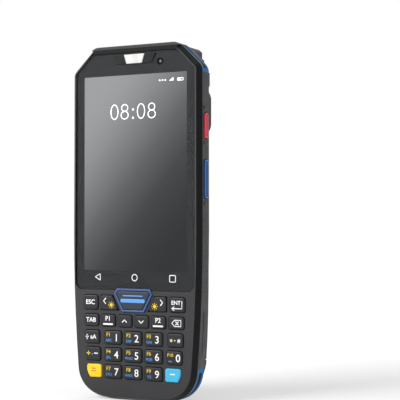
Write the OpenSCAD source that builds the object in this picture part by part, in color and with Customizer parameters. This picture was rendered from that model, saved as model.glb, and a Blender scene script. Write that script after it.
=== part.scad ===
// Rugged handheld data terminal: touch screen above a keypad, battery under a rear cover.
// +Z runs up the length, -Y is the screen side, +X is the right-hand side seen from the screen.
// Sub-parts are drawn from the front face, y = 0, and seat() centres the depth on the origin.

/* [Body] */
// Width across the side bands
body_w = 70; // [68:1:84]
// Length from the base to the top end
body_l = 170; // [140:1:204]
// Depth of the front shell
front_t = 3.6; // [3.4:0.1:4.4]
// How much smaller the front face is than the side band, all round
front_draw = 1.5; // [1:0.1:2]
// Height of the grey brow above the front shell
brow_h = 1.7; // [1:0.1:2.5]
// Depth of the side band
band_t = 6.8; // [6.4:0.1:8.2]
// Bevel from the side band to the rear hump, along each leg
bevel = 4.8; // [4:0.1:5.6]
// Depth of the hump at its edges, from the front face
back_edge_y = 22.4; // [21.6:0.1:26.9]
// Crown of the back, from the edges to the middle
crown = 0.6; // [0.3:0.1:1.2]
// Radius of the hump's long shoulders
shoulder_r = 3.5; // [2:0.1:4]
// Height at which the sides begin to draw in towards the base
taper_z = 80; // [70:1:90]
// How far each side would have drawn in at the base
base_draw = 4.1; // [3:0.1:5]
// Radius of the curved base edge
base_r = 130; // [110:1:160]
// Width of the flat land on the base
land_w = 26; // [22:1:31]
// Radius of the bottom corners
corner_r = 15; // [13:1:18]
// Cut of the top corners, along each leg
top_cut = 12; // [10:0.5:14]
// Rounding beside the top corner cuts
top_r = 6; // [5.8:0.1:8]
// Wall of the rear shell at the side band
wall = 2.2; // [2:0.1:2.6]

/* [Head] */
// Height of the thick head zone
head_h = 15.5; // [14:0.5:18]
// How far the head stands back from the hump
head_rise = 1.2; // [0.8:0.1:2]
// Length of the slope below the head zone
head_slope = 4; // [3:0.5:6]
// How far the head is set in from the front outline, at its end and corners
head_inset = 0.5; // [0.3:0.1:1]
// Notch at each top corner for its screw: width
notch_w = 5.4; // [5:0.1:6]
// Height of the lower edge of that notch below the top end
notch_drop = 13; // [12.5:0.5:14]

/* [Screen] */
// Thickness of the touch glass
glass_t = 0.8; // [0.6:0.1:1]
// Width of the black rim beside the glass
rim_w = 1; // [0.8:0.1:1.6]
// Border between the glass edge and the live screen, at each side
side_border = 4.4; // [4:0.1:6]
// Border above the live screen
top_border = 10.8; // [10:0.1:13]
// Border below the live screen, which holds the touch symbols
low_border = 9.4; // [8:0.1:12]
// Thickness of the display module
display_t = 3.05; // [2.4:0.05:3.6]

/* [Keypad] */
// Height of the glass edge above the base
keypad_top = 52.4; // [50:0.1:56]
// Thickness of the keypad panel
panel_t = 1.5; // [1.2:0.1:2]
// Height of the lowest row's middle
first_row_z = 13.5; // [13:0.1:15]
// Pitch of the digit rows
row_pitch = 8.15; // [8:0.05:8.6]
// Height of a digit key
digit_h = 6.4; // [5.4:0.1:6.9]
// Height of the keys in the second row
arrow_h = 5.8; // [5:0.1:6.2]
// Height of the keys in the top row
top_key_h = 7; // [6:0.1:7.2]
// Width of the outer keys
outer_w = 8.2; // [6.9:0.1:9]
// Distance from the body's side to the outer keys
key_margin = 6.6; // [6.3:0.1:8]
// Gap between neighbouring keys
key_gap = 1.5; // [1.2:0.1:1.8]
// Width of the two keys beside the scan key, at their tops
side_key_w = 6.4; // [5.4:0.1:7]
// Height of the scan key's frame
scan_h = 11; // [10:0.1:11.4]
// How much the scan key's frame narrows to its foot, each side
scan_taper = 4.5; // [3.5:0.1:5]
// Width of the scan key's frame
trim_w = 0.9; // [0.7:0.1:1.2]
// How far a key stands out
key_rise = 0.7; // [0.4:0.1:1]
// How far the scan key stands out
scan_rise = 0.9; // [0.6:0.1:1.2]
// Travel of a key
key_travel = 0.6; // [0.4:0.05:0.65]
// Clearance round a key in the panel
key_fit = 0.22; // [0.15:0.01:0.3]
// Width of the lip that keeps a key behind the panel
key_lip = 0.35; // [0.2:0.05:0.45]

/* [Side keys] */
// Width of the side keys, across the band
side_w = 4.2; // [3.6:0.1:4.6]
// Length of the power key
power_l = 11.9; // [10:0.1:14.3]
// Length of the side scan keys
scan_l = 18.3; // [15.2:0.1:20]
// Length of the volume rocker
rocker_l = 17; // [14:0.1:19]
// How far a side key stands out
side_rise = 0.5; // [0.3:0.1:0.8]
// Gap behind the wall that lets the volume rocker tilt
rocker_gap = 0.5; // [0.4:0.05:0.7]

/* [Battery and cover] */
// Height of the cover's lower edge
cover_z0 = 18.9; // [18:0.1:22]
// Depth at which the cover's seam runs along the bevel
seam_y = 12.4; // [12.2:0.1:13]
// Gap at the cover's seam
seam_gap = 0.2; // [0.15:0.01:0.3]
// Thickness of the cover
cover_t = 1.4; // [1.2:0.1:1.8]
// Width of the battery
battery_w = 49; // [40:1:50]
// Clearance round the battery
battery_fit = 0.3; // [0.2:0.05:0.5]
// Room above the battery, which rises a little as it tips out
tip_room = 1.1; // [1:0.1:1.6]
// Wall round the battery bay
bay_wall = 1; // [0.8:0.1:1.2]

/* [Latch strip] */
// Distance from the top end down to the strip's upper edge
strip_drop = 47.8; // [46:0.1:52]
// Height of the strip
strip_h = 8.4; // [7.6:0.1:9.4]
// Depth of the strip below the hump's edge
strip_dip = 1; // [0.6:0.1:1.4]
// Width of the latch knob
knob_w = 11.4; // [9.5:0.1:12.5]
// Travel of the latch
latch_travel = 11.5; // [9.6:0.1:12.5]
// Width of each grip pocket
pocket_w = 7; // [5.9:0.1:7.4]
// Height of each grip pocket
pocket_h = 4.6; // [4.5:0.1:5.2]
// Depth of each grip pocket
pocket_t = 4.4; // [4.3:0.1:5]
// Middle of each grip pocket from the middle of the body
pocket_x = 20.6; // [20:0.1:21.4]

/* [Strap fittings] */
// Inner width of the upper strap socket
socket_w = 13.2; // [11:0.1:14.4]
// Width of the socket's walls
socket_wall = 2.5; // [2:0.1:3]
// How far the socket stands back from the hump
socket_rise = 2.6; // [2:0.1:3.2]
// Recess behind the socket
socket_dip = 1.7; // [1.6:0.1:2.2]
// Width of the lower strap loop
loop_w = 18.6; // [17:0.1:20]
// Height of the lower strap loop
loop_h = 11.4; // [11:0.1:13]
// Width of the slot in the loop
slot_w = 12.2; // [10.2:0.1:14]
// Height of the slot in the loop
slot_h = 4.4; // [4.2:0.1:4.8]
// Height of the bar below the slot
bar_h = 3.7; // [3.2:0.1:4.2]

/* [Hidden] */
$fn = 48;
eps = 0.01;
slab = 0.05;
half_w = body_w/2;
band_y0 = front_t;
band_y1 = front_t + band_t;
band_mid = front_t + band_t/2;
foot_y = band_y1 + bevel;
crown_y = back_edge_y + crown;
head_y = back_edge_y + head_rise;
hump_half = half_w - bevel;
socket_y = crown_y + socket_rise - crown;
// Depth of the whole object, from the scan key's face to the socket's face
frame_y = (socket_y - scan_rise)/2;

// Layers behind the front face
glass_y = 0.1;
glass_back = glass_y + glass_t;
display_back = glass_back + display_t;
frame_t = 1;
frame_back = display_back + frame_t;
board_t = 1;
board_y = frame_back + 1.4;
board_back = board_y + board_t;
key_board_t = 0.6;
lip_t = 0.5;
lip_gap = 0.1;
lip_y = panel_t + lip_gap;
key_back = lip_y + lip_t;
mat_y = key_back + key_travel + 0.05;
key_board_y = display_back - key_board_t;
inner_y = 9.8;
bay_floor = 11;
bay_top = back_edge_y - cover_t;

// Heights
glass_top = body_l - front_draw - brow_h - 0.4;
screen_z0 = keypad_top + low_border;
screen_z1 = glass_top - top_border;
screen_half = half_w - front_draw - rim_w - side_border;
glass_half = half_w - front_draw - rim_w;
strip_z1 = body_l - strip_drop;
strip_z0 = strip_z1 - strip_h;
cover_z1 = strip_z0 - 0.2;
bay_z0 = cover_z0 + 3.4;
bay_z1 = cover_z1 - 3.6;
head_z = body_l - head_h;
frame_top = body_l - 22;
board_z0 = 12;
board_half = half_w - 5.9;

screw_r = 1;
screw_head_r = 1.7;
recess_r = 1.95;
screw_seat = 9.6;
boss_r = 2.2;

// Side keys: heights of their middles
power_z = body_l - 39.7;
scan_z = strip_z0 - 8.6;
rocker_z = body_l - 37.5;
side_x0 = half_w - wall;

// Camera
camera_x = hump_half - 6.6;
lens_z = body_l - 25.8;
flash_z = body_l - 37.4;
island_r = 6.2;
mic_z = body_l - 17.6;
camera_y = back_edge_y + 1.1;
head_back = 19.4;

// Upper socket
socket_z0 = body_l - 34;
socket_z1 = body_l - 24;
socket_bar = 3.2;

// Earpiece and indicator, in the glass border
ear_z0 = glass_top - 5.4;
ear_z1 = glass_top - 1;
ear_top_half = 11.6;
ear_low_half = 9.4;
lamp_top_half = 5.6;
lamp_low_half = 4.2;
front_cam_x = 13.9;
front_cam_z = glass_top - 5.2;
front_cam_r = 1.7;

function arc(c, r, a0, a1, n) = [for (i = [1:n]) let (a = a0 + (a1 - a0)*i/n) c + r*[cos(a), sin(a)]];
function mirrored(pts) =
    concat(pts, [for (i = [len(pts) - 1:-1:0]) if (pts[i][0] > eps) [-pts[i][0], pts[i][1]]]);
function angle_of(v) = atan2(v[1], v[0]);
// Lower meeting point of two circles, to the right of the middle
function meet(c0, r0, c1, r1) =
    let (v = c1 - c0, l = norm(v), a = (r0*r0 - r1*r1 + l*l)/(2*l), h = sqrt(r0*r0 - a*a))
    c0 + v*a/l + h*[-v[1], v[0]]/l;

side_r = (taper_z*taper_z + base_draw*base_draw)/(2*base_draw);
side_c = [half_w - side_r, taper_z];
base_c = [0, sqrt(base_r*base_r - land_w*land_w/4)];
corner_c = meet(base_c, base_r - corner_r, side_c, side_r - corner_r);

// Screws: place across the body, and height. The lowest lie on the bottom corners' radii
low_screw = corner_c + (corner_r - 3.2)*[cos(41), -sin(41)];
screw_x = [low_screw[0], half_w - 3.1, half_w - 7.6];
screw_z = [low_screw[1], strip_z0 + 4.1, body_l - 9.2];

// Front outline of the body, drawn in by d all round
function outline(d) =
    let (r = base_r - d, x0 = sqrt(r*r - (base_c[1] - d)*(base_c[1] - d)), rt = max(top_r, d + 0.1),
         t0 = angle_of([x0, d] - base_c), t1 = angle_of(corner_c - base_c),
         t2 = angle_of(corner_c - side_c))
    mirrored(concat([[x0, d]],
        arc(base_c, r, t0, t1, 3), arc(corner_c, corner_r - d, t1, t2, 8),
        arc(side_c, side_r - d, t2, 0, 5),
        arc([half_w - rt, body_l - top_cut - rt*tan(22.5)], rt - d, 0, 45, 4),
        arc([half_w - top_cut - rt*tan(22.5), body_l - rt], rt - d, 45, 90, 4)));
// Half width of the body at height z, above the corners
function side_x(z) = z > taper_z ? half_w : side_c[0] + sqrt(side_r*side_r - pow(z - taper_z, 2));
function rounded(w, h, r) =
    let (x = w/2 - r, y = h/2 - r)
    concat(arc([x, y], r, -11.25, 90, 4), arc([-x, y], r, 78.75, 180, 4),
           arc([-x, -y], r, 168.75, 270, 4), arc([x, -y], r, 258.75, 360, 4));

module seat() translate([0, -frame_y, 0]) children();
module along_x(x0, x1) translate([x0, 0, 0]) rotate([90, 0, 90]) linear_extrude(x1 - x0) children();
module along_y(y0, y1) translate([0, y1, 0]) rotate([90, 0, 0]) linear_extrude(y1 - y0) children();
module along_z(z0, z1) translate([0, 0, z0]) linear_extrude(z1 - z0) children();
module box(lo, hi) translate(lo) cube(hi - lo);
module pair() {
    children();
    mirror([1, 0, 0]) children();
}
module rod_y(x, z, r, y0, y1) translate([x, y1, z]) rotate([90, 0, 0]) cylinder(r = r, h = y1 - y0);
module below(z) intersection() {
    children();
    translate([-body_w, -1]) square([2*body_w, z + 1]);
}

// Rear form: side band, bevel, crowned hump and thick head
function hump_section(edge, middle) =
    let (h = hump_half - shoulder_r, s = middle - edge, r = (h*h + s*s)/(2*s), a = asin(h/r))
    mirrored(concat([[hump_half, band_y1 - 2]],
        arc([hump_half - shoulder_r, edge - shoulder_r], shoulder_r, -11.25, 90, 9),
        arc([0, middle - r], r, 90 - a, 90, 4)));
chin_y = back_edge_y - 5.2;
module side_profile() polygon([
    [band_y1 - 2, -1], [chin_y, 0], [crown_y + 0.1, cover_z0 + 0.6], [crown_y + 0.1, head_z - head_slope],
    [head_y + crown + 0.1, head_z], [head_y + crown + 0.1, body_l + 1], [band_y1 - 2, body_l + 1]]);
module hump_outline() {
    below(taper_z) polygon(outline(bevel));
    intersection() {
        polygon(outline(head_inset));
        translate([-hump_half, taper_z - eps]) square([2*hump_half, body_l]);
    }
}
notch_r = 3;
module corner_notches() pair() along_y(foot_y, back_edge_y + 9) polygon(concat(
    [[hump_half - notch_w, body_l + 1]],
    arc([hump_half - notch_w + notch_r, body_l - notch_drop + notch_r], notch_r, 168.75, 270, 9),
    [[half_w + 1, body_l - notch_drop], [half_w + 1, body_l + 1]]));
module hump() difference() {
    intersection() {
        union() {
            along_z(-1, head_z) polygon(hump_section(back_edge_y, crown_y));
            along_z(head_z - head_slope, body_l + 1) polygon(hump_section(head_y, head_y + crown));
        }
        along_x(-half_w, half_w) side_profile();
        along_y(band_y1 - 2, back_edge_y + 9) hump_outline();
    }
    corner_notches();
}
// The bevelled part of the rear form, drawn in by d
module bevel_form(d) hull() {
    along_y(band_y1 - slab, band_y1) polygon(outline(d));
    along_y(foot_y - slab, foot_y) polygon(outline(bevel + d));
}
module rear_form() {
    along_y(band_y0, band_y1) polygon(outline(0));
    bevel_form(0);
    hump();
}
// Space that the battery cover takes, drawn in by g at its seam
module cover_space(g) along_x(-half_w - 1, half_w + 1) polygon([
    [seam_y + g, cover_z0 + 9 + g], [seam_y + 2.6 + g, cover_z0 + 2.6 + g], [seam_y + 7 + g, cover_z0 + g],
    [back_edge_y + 9, cover_z0 + g], [back_edge_y + 9, cover_z1 - g], [seam_y + 4.6 + g, cover_z1 - g],
    [seam_y + 1.4 + g, cover_z1 - 1.4 - g], [seam_y + g, cover_z1 - 4.6 - g]]);

// Screws and their holes
module at_screws() for (i = [0:2]) pair() translate([screw_x[i], 0, screw_z[i]]) children();
module screw_bosses() at_screws() rod_y(0, 0, boss_r, band_y0, screw_seat + 1);
module screw_holes() at_screws() {
    rod_y(0, 0, screw_r + 0.1, band_y0 - 1, screw_seat + 1);
    rod_y(0, 0, recess_r, screw_seat, back_edge_y + 9);
}
module rear_screws() color("#202124") at_screws() difference() {
    union() {
        rod_y(0, 0, screw_r, glass_back + 0.6, screw_seat + 0.1);
        rod_y(0, 0, screw_head_r, screw_seat, screw_seat + 1.4);
    }
    translate([0, screw_seat + 2, 0]) rotate([90, 0, 0]) cylinder(r = 0.85, h = 1.5, $fn = 6);
}

// Bumpers: a coloured frame and a black insert at each corner, let into the side band
skin = 1;
arm_w = 1.6;
top_bumper_z = body_l - 14.6;
top_bumper_x = half_w - 18;
low_bumper_z = 16.4;
low_bumper_x = half_w - 16;
module skin_ring(y0, y1) along_y(y0, y1) difference() {
    polygon(outline(0));
    polygon(outline(skin));
}
module top_zone(g) pair()
    box([top_bumper_x + g, 0, top_bumper_z + g], [half_w + 1, back_edge_y, body_l + 1]);
module low_zone(g) pair() box([low_bumper_x + g, 0, -1], [half_w + 1, back_edge_y, low_bumper_z - g]);
bumper_y0 = band_y0 + 0.3;
bumper_y1 = band_y1;
module bumper_space() {
    intersection() {
        skin_ring(bumper_y0, bumper_y1 + eps);
        union() {
            top_zone(0);
            low_zone(0);
        }
    }
}
module insert_form() intersection() {
    skin_ring(bumper_y0 + arm_w, bumper_y1 - arm_w - 0.3);
    union() {
        top_zone(arm_w + 0.3);
        low_zone(arm_w + 0.3);
    }
}
module top_bumpers() color("#4a86cf") difference() {
    intersection() {
        skin_ring(bumper_y0, bumper_y1);
        top_zone(0);
    }
    insert_form();
}
module bottom_bumpers() color("#3f74c4") difference() {
    intersection() {
        skin_ring(bumper_y0, bumper_y1);
        low_zone(0);
    }
    insert_form();
}
module bumper_inserts() color("#15161a") insert_form();

// Side keys: outline across the band and along the length
side_lip_t = 0.7;
side_lip_w = 0.45;
side_key_r = 1.6;
module side_slot(z, l, g) translate([band_mid, z])
    polygon(rounded(side_w + 2*g, l + 2*g, side_key_r + g));
module side_slots() {
    along_x(side_x0 - 1, half_w + 1) side_slot(power_z, power_l, key_fit);
    along_x(side_x0 - 1, half_w + 1) side_slot(scan_z, scan_l, key_fit);
    along_x(-half_w - 1, -side_x0 + 1) side_slot(scan_z, scan_l, key_fit);
    along_x(-half_w - 1, -side_x0 + 1) side_slot(rocker_z, rocker_l, key_fit);
}
module side_key(z, l, gap) {
    lip_x1 = side_x(z - l/2 - 1) - wall - gap;
    lip_x0 = lip_x1 - side_lip_t;
    along_x(lip_x0, half_w + side_rise) side_slot(z, l, 0);
    along_x(lip_x0, lip_x1) side_slot(z, l, side_lip_w);
}
module power_key() color("#cf3b50") side_key(power_z, power_l, lip_gap);
module right_scan_key() color("#4a79b8") side_key(scan_z, scan_l, lip_gap);
module left_scan_key() color("#4a79b8") mirror([1, 0, 0]) side_key(scan_z, scan_l, lip_gap);
module volume_rocker() color("#33353a") mirror([1, 0, 0]) side_key(rocker_z, rocker_l, rocker_gap);
guard_r = 1.5;
guard_gap = 2.4;
module guard(z) rod_y(half_w - guard_r + side_rise, z, guard_r, band_mid - 1.9, band_mid + 1.9);
module guards() {
    guard(power_z + power_l/2 + guard_gap);
    guard(power_z - power_l/2 - guard_gap);
    pair() guard(scan_z - scan_l/2 - guard_gap);
}

// Strap fittings
socket_half = socket_w/2 + socket_wall;
socket_root = head_back + 1;
socket_floor = crown_y - socket_dip - 0.4;
socket_ramp = 3.2;
module socket_bracket() difference() {
    along_x(-socket_half, socket_half) polygon([
        [socket_root, socket_z0], [socket_y, socket_z0], [socket_y, socket_z1],
        [crown_y - 0.6, socket_z1 + socket_ramp], [socket_root, socket_z1 + socket_ramp]]);
    socket_recess();
}
module socket_recess() box([-socket_w/2, socket_floor, socket_z0 + socket_bar],
    [socket_w/2, socket_y + 1, socket_z1 + socket_ramp + 0.2]);
// Fine grooves that lead a strap's tongue into the socket
guide_w = 0.6;
module guide_grooves() pair() box([socket_half + 0.1, crown_y - 0.8, socket_z1],
    [socket_half + 0.1 + guide_w, back_edge_y + 9, head_z]);
module strap_loop() box([-loop_w/2, chin_y - 3, 0], [loop_w/2, back_edge_y, loop_h]);
loop_y0 = 14.4;
module loop_channel() {
    box([-slot_w/2, loop_y0, bar_h], [slot_w/2, back_edge_y + 1, bar_h + slot_h]);
    box([-slot_w/2, loop_y0, -1], [slot_w/2, loop_y0 + 4.5, bar_h + slot_h]);
}

// Latch strip
latch_x0 = 9.4;
latch_z = strip_z0 + strip_h/2;
knob_h = 5;
strip_y = back_edge_y - strip_dip;
latch_y0 = strip_y - 1.6;
latch_lip = 0.5;
latch_lip_y = latch_y0 + 0.7;
module latch_pocket() translate([latch_x0 + 0.3 - (knob_w + latch_travel + 0.6)/2, 0, latch_z]) {
    along_y(latch_y0, strip_y + 1) polygon(rounded(knob_w + latch_travel + 0.6, knob_h + 0.5, 1.5));
    along_y(latch_y0, latch_lip_y + 0.6)
        polygon(rounded(knob_w + latch_travel + 0.6, knob_h + 0.6 + 2*latch_lip, 1.5));
}
module strip_cuts() {
    box([-half_w, strip_y, strip_z0], [half_w, back_edge_y + 9, strip_z1]);
    latch_pocket();
    pair() translate([pocket_x, 0, latch_z])
        along_y(strip_y - pocket_t, strip_y + 1) polygon(rounded(pocket_w, pocket_h, 0.6));
    pair() rod_y(contact_x, latch_z, 1.7, strip_y - 2.4, strip_y + 1);
}
contact_x = hump_half - 3.1;
module gold_contacts() color("#c9a24a") pair() {
    rod_y(contact_x, latch_z, 1.65, strip_y - 2.4, strip_y + 0.1);
    rod_y(contact_x, latch_z, 0.9, strip_y, strip_y + 0.35);
}
module latch_indicator() color("#2f7d46")
    translate([latch_x0 - knob_w - latch_travel/2, 0, latch_z])
        along_y(latch_y0, latch_y0 + 0.5) polygon(rounded(latch_travel - 1.6, knob_h - 0.6, 1.9));
module latch_slider() color("#3c3e42") translate([latch_x0 - knob_w/2, 0, latch_z]) {
    along_y(latch_lip_y, strip_y + 0.2) polygon(rounded(knob_w, knob_h, 1.3));
    along_y(latch_lip_y, latch_lip_y + 0.4) polygon(rounded(knob_w, knob_h + 2*latch_lip, 1.3));
    for (i = [-1:1]) box([i*1.6 - 0.4, strip_y, 1 - knob_h/2], [i*1.6 + 0.4, strip_y + 0.6, knob_h/2 - 1]);
}

// Rear camera: bezel, glass, camera and flash
module island(r) union() {
    for (z = [lens_z, flash_z]) translate([camera_x, z]) circle(r = r);
    translate([camera_x - r, flash_z]) square([2*r, lens_z - flash_z]);
}
module camera_bezel() color("#2b2d31") difference() {
    along_y(head_back + 0.6, camera_y) island(island_r);
    along_y(camera_y - 0.9, camera_y + 1) island(island_r - 1);
    rod_y(camera_x, lens_z, 3.1, head_back, camera_y);
    rod_y(camera_x, flash_z, 2.1, head_back, camera_y);
}
module camera_glass() color("#26282c") along_y(camera_y - 0.9, camera_y - 0.3) island(island_r - 1.05);
module rear_camera() color("#101114") {
    box([camera_x - 4.3, head_back - 5.4, lens_z - 4.3], [camera_x + 4.3, head_back, lens_z + 4.3]);
    rod_y(camera_x, lens_z, 3, head_back - eps, camera_y - 1);
    rod_y(camera_x, flash_z, 2, head_back - 2.4, camera_y - 1);
}
// Speaker behind its holes
speaker_x = -(hump_half - 6.6);
hole_pitch = [3.4, 2.64];
module speaker_holes() for (i = [-1:1], j = [-3.5:3.5])
    translate([speaker_x + i*hole_pitch[0], head_back - 1, body_l - 31.3 + j*hole_pitch[1]])
        rotate([-90, 0, 0]) cylinder(r = 0.65, h = 6, $fn = 6);
module speaker() color("#2a2c30") union() {
    box([speaker_x - 4.6, head_back - 4, body_l - 42.6], [speaker_x + 5, head_back - 0.6, body_l - 20]);
    box([speaker_x - 4.2, head_back - 0.6 - eps, body_l - 42], [speaker_x + 4.4, head_back, body_l - 40.9]);
}

// Scan engine and its window in the top end
scan_half = 12;
window_y = [band_y0 + 3.2, band_y0 + 13.4];
window_z = [body_l - 3.4, body_l - 0.5];
module scan_opening(g) box([-scan_half - g, window_y[0] - g, window_z[0] - 0.2],
    [scan_half + g, window_y[1] + g, body_l + 1]);
module scan_engine() color("#3a3d42") difference() {
    box([-10.5, board_y, frame_top + 1.2], [10.5, window_y[1], body_l - 4.4]);
    for (x = [-5, 4]) translate([x, window_y[0] + 4.6, body_l - 8]) cylinder(r = 2.2, h = 5);
}
module scan_window() color("#3b0d12") box([-scan_half, window_y[0], window_z[0]],
    [scan_half, window_y[1], window_z[1]]);

// USB socket in the base
usb_y = band_mid - 0.3;
usb_size = [8.9, 3.2];
usb_t = 0.3;
// Outline of the socket's shell, grown by g
module usb_outline(g) polygon(rounded(usb_size[0] + 2*g, usb_size[1] + 2*g, usb_size[1]/2 - 0.2 + g));
module usb_port() color("#9a9da2") translate([0, usb_y, 0]) difference() {
    along_z(0.5, 7.4) usb_outline(0);
    along_z(0, 6.6) usb_outline(-usb_t);
}

// Rear shell
module bay() box([-battery_w/2 - battery_fit, bay_floor, bay_z0], [battery_w/2 + battery_fit, 99, bay_z1]);
head_wall = 1.8;
module rear_cavities() {
    along_y(band_y0 - 1, inner_y) polygon(outline(wall));
    box([head_wall - hump_half, inner_y - 1, strip_z1 + 1.4],
        [hump_half - head_wall, head_back, body_l - notch_drop - 1.4]);
    box([-scan_half - 1.4, inner_y - 1, body_l - notch_drop - 2],
        [scan_half + 1.4, window_y[1] + 1.2, window_z[0] - 0.2]);
    pair() intersection() {
        box([loop_w/2 + 2, inner_y - 1, 5.4], [hump_half - 8, 15.2, cover_z0 - 2]);
        along_y(inner_y - 1, 15.2) polygon(outline(bevel + 1.8));
    }
}
label_half = 17.5;
label_z = [body_l - 12.6, body_l - 3];
module label_recess() box([-label_half, head_y - 0.3, label_z[0]], [label_half, back_edge_y + 9, label_z[1]]);
// Grooves along the side bands, below the side keys
module side_grooves() pair() box([side_x(30) - 0.6, band_mid - 0.5, 18], [half_w + 1, band_mid + 0.3, 43]);
// Slots in the seam at both sides, for prying the cover off
module pry_slots() pair() box([half_w - 3.4, seam_y - 0.5, cover_z1 - 25],
    [half_w, seam_y + 1.7, cover_z1 - 6.8]);
module housing_holes() {
    scan_opening(0.1);
    side_slots();
    speaker_holes();
    bumper_space();
    gasket_groove();
    strip_cuts();
    loop_channel();
    screw_holes();
    along_z(-1, wall + 1) translate([0, usb_y]) usb_outline(0.1);
    along_y(head_back - 1, back_edge_y + 9) island(island_r + 0.1);
    rod_y(camera_x, mic_z, 0.6, head_back - 1, back_edge_y + 9);
    label_recess();
    guide_grooves();
    side_grooves();
    pry_slots();
}
module gasket_groove() along_y(band_y0 - eps, band_y0 + 0.8) difference() {
    polygon(outline(1.2));
    polygon(outline(1.8));
}
module brow() intersection() {
    along_y(1.2, band_y0 + eps) polygon(outline(0));
    box([-half_w, 0, body_l - brow_h + 0.1], [half_w, band_y0 + 1, body_l]);
}
module rear_housing() color("#6f7174") {
    difference() {
        union() {
            difference() {
                rear_form();
                rear_cavities();
                cover_space(0);
                bay();
            }
            intersection() {
                rear_form();
                screw_bosses();
            }
            bay_frame();
            strap_loop();
            socket_bracket();
            guards();
            brow();
        }
        socket_recess();
        housing_holes();
    }
}
module bay_frame() difference() {
    box([-battery_w/2 - battery_fit - bay_wall, bay_floor - 0.5, bay_z0 - bay_wall],
        [battery_w/2 + battery_fit + bay_wall, bay_top - 1, bay_z1 + bay_wall]);
    bay();
}
module housing_gasket() color("#1b1c1f") along_y(band_y0, band_y0 + 0.8) difference() {
    polygon(outline(1.2));
    polygon(outline(1.8));
}

// Battery and its cover, which tips open about its lower edge
module battery_cell() color("#2c3e50") box([-battery_w/2, bay_floor + battery_fit, bay_z0 + battery_fit],
    [battery_w/2, bay_top, bay_z1 - tip_room]);
badge_half = 17.7;
badge_z = [cover_z0 + 1.4, cover_z0 + 8.2];
module badge_recess() along_y(crown_y - 0.5, back_edge_y + 9) polygon([
    [-badge_half, badge_z[0]], [badge_half, badge_z[0]],
    [badge_half - 2, badge_z[1]], [2 - badge_half, badge_z[1]]]);
module battery_cover() color("#737578") difference() {
    intersection() {
        rear_form();
        cover_space(seam_gap);
    }
    intersection() {
        union() {
            bevel_form(1.25*cover_t);
            along_y(foot_y - 1, bay_top) polygon(outline(bevel + 1.25*cover_t));
        }
        box([-half_w, 0, 0], [half_w, back_edge_y, cover_z1 + 1]);
    }
    pry_slots();
    badge_recess();
    box([-0.5, crown_y - 0.4, cover_z0 + 13], [0.5, back_edge_y + 9, cover_z1 - 10.6]);
}

// Front shell
module glass_form(g) polygon([
    [glass_half + g - 2.6, keypad_top - g], [glass_half + g, keypad_top + 2.6],
    [glass_half + g, glass_top - 9], [glass_half - 9, glass_top + g],
    [9 - glass_half, glass_top + g], [-glass_half - g, glass_top - 9],
    [-glass_half - g, keypad_top + 2.6], [2.6 - glass_half - g, keypad_top - g]]);
module ear_slot(g) polygon([
    [-ear_low_half - g, ear_z0 - g], [ear_low_half + g, ear_z0 - g],
    [ear_top_half + g, ear_z1 + g], [-ear_top_half - g, ear_z1 + g]]);
function lamp_half(z) = lamp_low_half + (z - ear_z0)/(ear_z1 - ear_z0)*(lamp_top_half - lamp_low_half);
// Outline of the indicator, grown by g sideways and by e at its ends
module lamp_form(g, e) polygon([
    [-lamp_half(ear_z0 - e) - g, ear_z0 - e], [lamp_half(ear_z0 - e) + g, ear_z0 - e],
    [lamp_half(ear_z1 + e) + g, ear_z1 + e], [-lamp_half(ear_z1 + e) - g, ear_z1 + e]]);
module keypad_area(d) below(keypad_top - 0.8 - d) polygon(outline(5.4 + d));
module display_box(g) box([-screen_half - 1.4 - g, glass_back, screen_z0 - 3 - g],
    [screen_half + 1.4 + g, display_back + g, screen_z1 + 2.4 + g]);
module front_housing() color("#232428") difference() {
    intersection() {
        hull() {
            along_y(0, 0.5) polygon(outline(front_draw));
            along_y(front_t - 0.2, front_t) polygon(outline(0));
        }
        box([-half_w - 1, -1, -1], [half_w + 1, front_t + 1, body_l - brow_h]);
    }
    along_y(-1, glass_back) glass_form(0.1);
    display_box(0.15);
    along_y(panel_t, front_t + 1) keypad_area(0);
    along_y(-1, panel_t + 1) for (k = KEYS) key_shape(k, key_fit);
    along_y(-1, front_t + 1) scan_outline(-0.05);
    box([-8.6, -1, ear_z0 + 0.4], [8.6, front_t + 1, ear_z1 - 0.4]);
    rod_y(front_cam_x, front_cam_z, front_cam_r + 0.1, 0, front_t + 1);
    at_screws() rod_y(0, 0, screw_r + 0.05, glass_back + 0.4, front_t + 1);
}
module touch_glass() color("#3f4145") difference() {
    along_y(glass_y, glass_back) glass_form(0);
    along_y(-1, glass_back + 1) scan_outline(-0.15);
    along_y(-1, glass_back + 1) ear_slot(0.05);
}
module display_module() color("#8b8d8f") display_box(0);
module acoustic_meshes() color("#17181a") difference() {
    along_y(glass_y + 0.15, glass_back) ear_slot(0);
    along_y(glass_y, glass_back + 1) lamp_form(0.1, 1);
}
module indicator_lens() color("#f2f2f0") {
    along_y(glass_y, glass_back) lamp_form(0, 0);
    box([-3, glass_back - eps, ear_z0 + 0.8], [3, front_t, ear_z1 - 0.8]);
}
module front_camera() color("#0d0e10") rod_y(front_cam_x, front_cam_z, front_cam_r, glass_back, display_back);

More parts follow.
